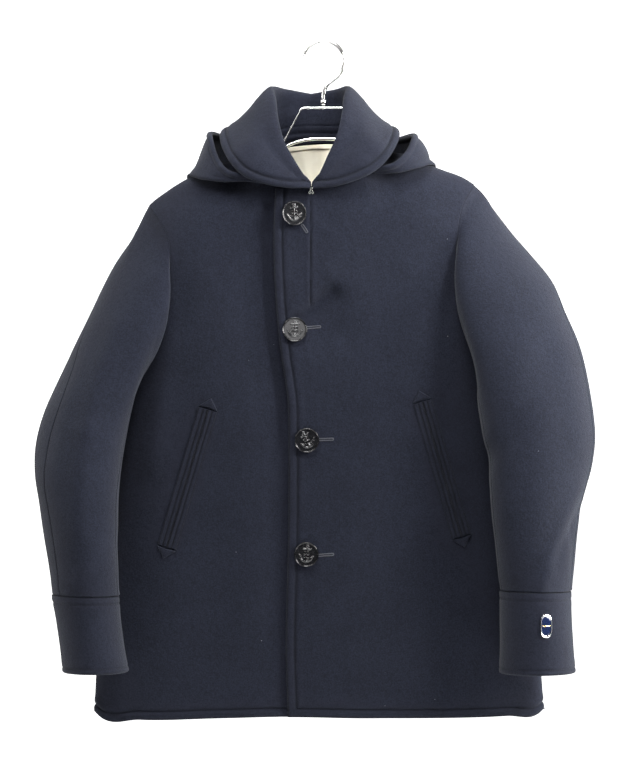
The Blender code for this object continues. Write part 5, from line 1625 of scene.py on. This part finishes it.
def add_sweep(name, profile, start, end, glow):
    """White paper: (radius, z) points in metres, turned about the coat between two angles in degrees."""
    turns = np.radians(np.linspace(start, end, 65))
    points = [(r * math.cos(t), r * math.sin(t), z) for r, z in profile for t in turns]
    quads = grid_quads(len(profile), len(turns))
    mesh = bpy.data.meshes.new(name)
    mesh.from_pydata(points, [], quads)
    mesh.shade_smooth()
    sweep = bpy.data.objects.new(name, mesh)
    bpy.context.scene.collection.objects.link(sweep)
    made, tree, shader, coords = look(name + "_paper", 0.9)
    paper = blend_colours(tree, noise(tree, coords, 300, 2), (0.93, 0.93, 0.93), (0.96, 0.96, 0.96))
    tree.links.new(paper, shader.inputs["Base Color"])
    shader.inputs["Emission Color"].default_value = (1, 1, 1, 1)
    shader.inputs["Emission Strength"].default_value = glow
    mesh.materials.append(made)
    # its glow is for the picture's background and lends the coat no light
    sweep.visible_diffuse = glow == 0
    # the half behind the camera is only there for views from the back
    sweep.visible_glossy = end <= 180 or glow == 0


def make_stage():
    """A pale floor, and all round it a white wall that curves up from the floor and closes above."""
    flat = [(0.0, FLOOR), (FLOOR_REACH / 2, FLOOR), (FLOOR_REACH, FLOOR)]
    add_sweep("floor", flat, 0, 360, 0.0)
    profile = [(FLOOR_REACH, FLOOR), (WALL_FOOT, FLOOR)]
    for k in range(1, 13):
        angle = math.radians(90 * k / 12)
        bend_out, bend_up = WALL_BEND * math.sin(angle), WALL_BEND * (1 - math.cos(angle))
        profile.append((WALL_FOOT + bend_out, FLOOR + bend_up))
    profile += [(6.5, 3.0), (6.0, 5.0), (4.0, 7.0), (0.0, 8.0)]
    add_sweep("backdrop", profile, 0, 180, PAPER_GLOW)
    add_sweep("front_paper", profile, 180, 360, PAPER_GLOW)


# name, place, aimed at, width and height, power
LIGHTS = (
    ("key", (0.02, -1.1, 1.2), (0, 0, -0.2), 0.6, 36),
    ("neck", (-0.02, -0.75, 0.35), (-0.02, 0, -0.15), 0.3, 7),
    ("key_right", (1.5, -1.0, 0.4), (0.3, 0, -0.5), 0.6, 96),
    ("key_left", (-0.9, -1.25, 1.0), (-0.1, 0, -0.3), 0.6, 30),
    ("right", (1.8, -0.1, -0.1), (0.2, 0, -0.4), 0.9, 130),
    ("left", (-1.8, 0.1, -0.1), (-0.2, 0, -0.4), 0.9, 36),
    ("top", (0.0, -0.25, 1.5), (0, 0, -0.3), 0.9, 44),
    ("button", (-0.037, -2.2, 0.37), (-0.037, 0, -0.377), 0.5, 3),
)


def make_lights():
    """The lamps, and a weak even light all round."""
    for name, place, aim, size, power in LIGHTS:
        lamp = bpy.data.lights.new(name, "AREA")
        lamp.shape, lamp.size, lamp.size_y, lamp.energy = "RECTANGLE", size, size, power
        obj = bpy.data.objects.new(name, lamp)
        obj.location = place
        obj.rotation_euler = (Vector(aim) - Vector(place)).to_track_quat("-Z", "Y").to_euler()
        bpy.context.scene.collection.objects.link(obj)
    world = bpy.data.worlds.new("studio")
    world.use_nodes = True
    around = world.node_tree.nodes["Background"]
    around.inputs["Color"].default_value = (1, 1, 1, 1)
    around.inputs["Strength"].default_value = WORLD_GLOW
    bpy.context.scene.world = world


def make_camera():
    """A level camera in front of the coat."""
    lens = bpy.data.cameras.new("camera")
    lens.sensor_fit = "VERTICAL"
    lens.sensor_height = SENSOR
    lens.lens = SENSOR * CAMERA_AWAY / VIEW_HIGH
    lens.clip_end = 60
    lens.dof.use_dof = False
    obj = bpy.data.objects.new("camera", lens)
    obj.location = (CAMERA_AT[0], -CAMERA_AWAY, CAMERA_AT[1])
    obj.rotation_euler = (math.pi / 2, 0, 0)
    bpy.context.scene.collection.objects.link(obj)
    bpy.context.scene.camera = obj
    bpy.context.scene.view_settings.view_transform = "Standard"


def main():
    make_stage()
    make_lights()
    make_camera()
    surfaces = make_fine_body()
    tree = body_tree(surfaces)
    fronts = {side: quads_tree(surfaces["front_" + side][1]) for side in ("left", "right")}
    for side in ("left", "right"):
        make_fine_sleeve(side)
        cuff = make_fine_cuff(side, tree)
        if side == "right":
            make_fine_pin(quads_tree(np.concatenate([cuff, cuff[:, :1]], axis=1)))
        make_fine_hood(side, tree)
        make_fine_pocket(side, fronts)
    make_fine_collar()
    make_fine_lining()
    for number in (1, 2, 3, 4):
        make_fine_button(number, fronts)
        make_buttonhole(number, fronts)
    make_fine_neck_hook(fronts)
    make_fine_hanger()


main()
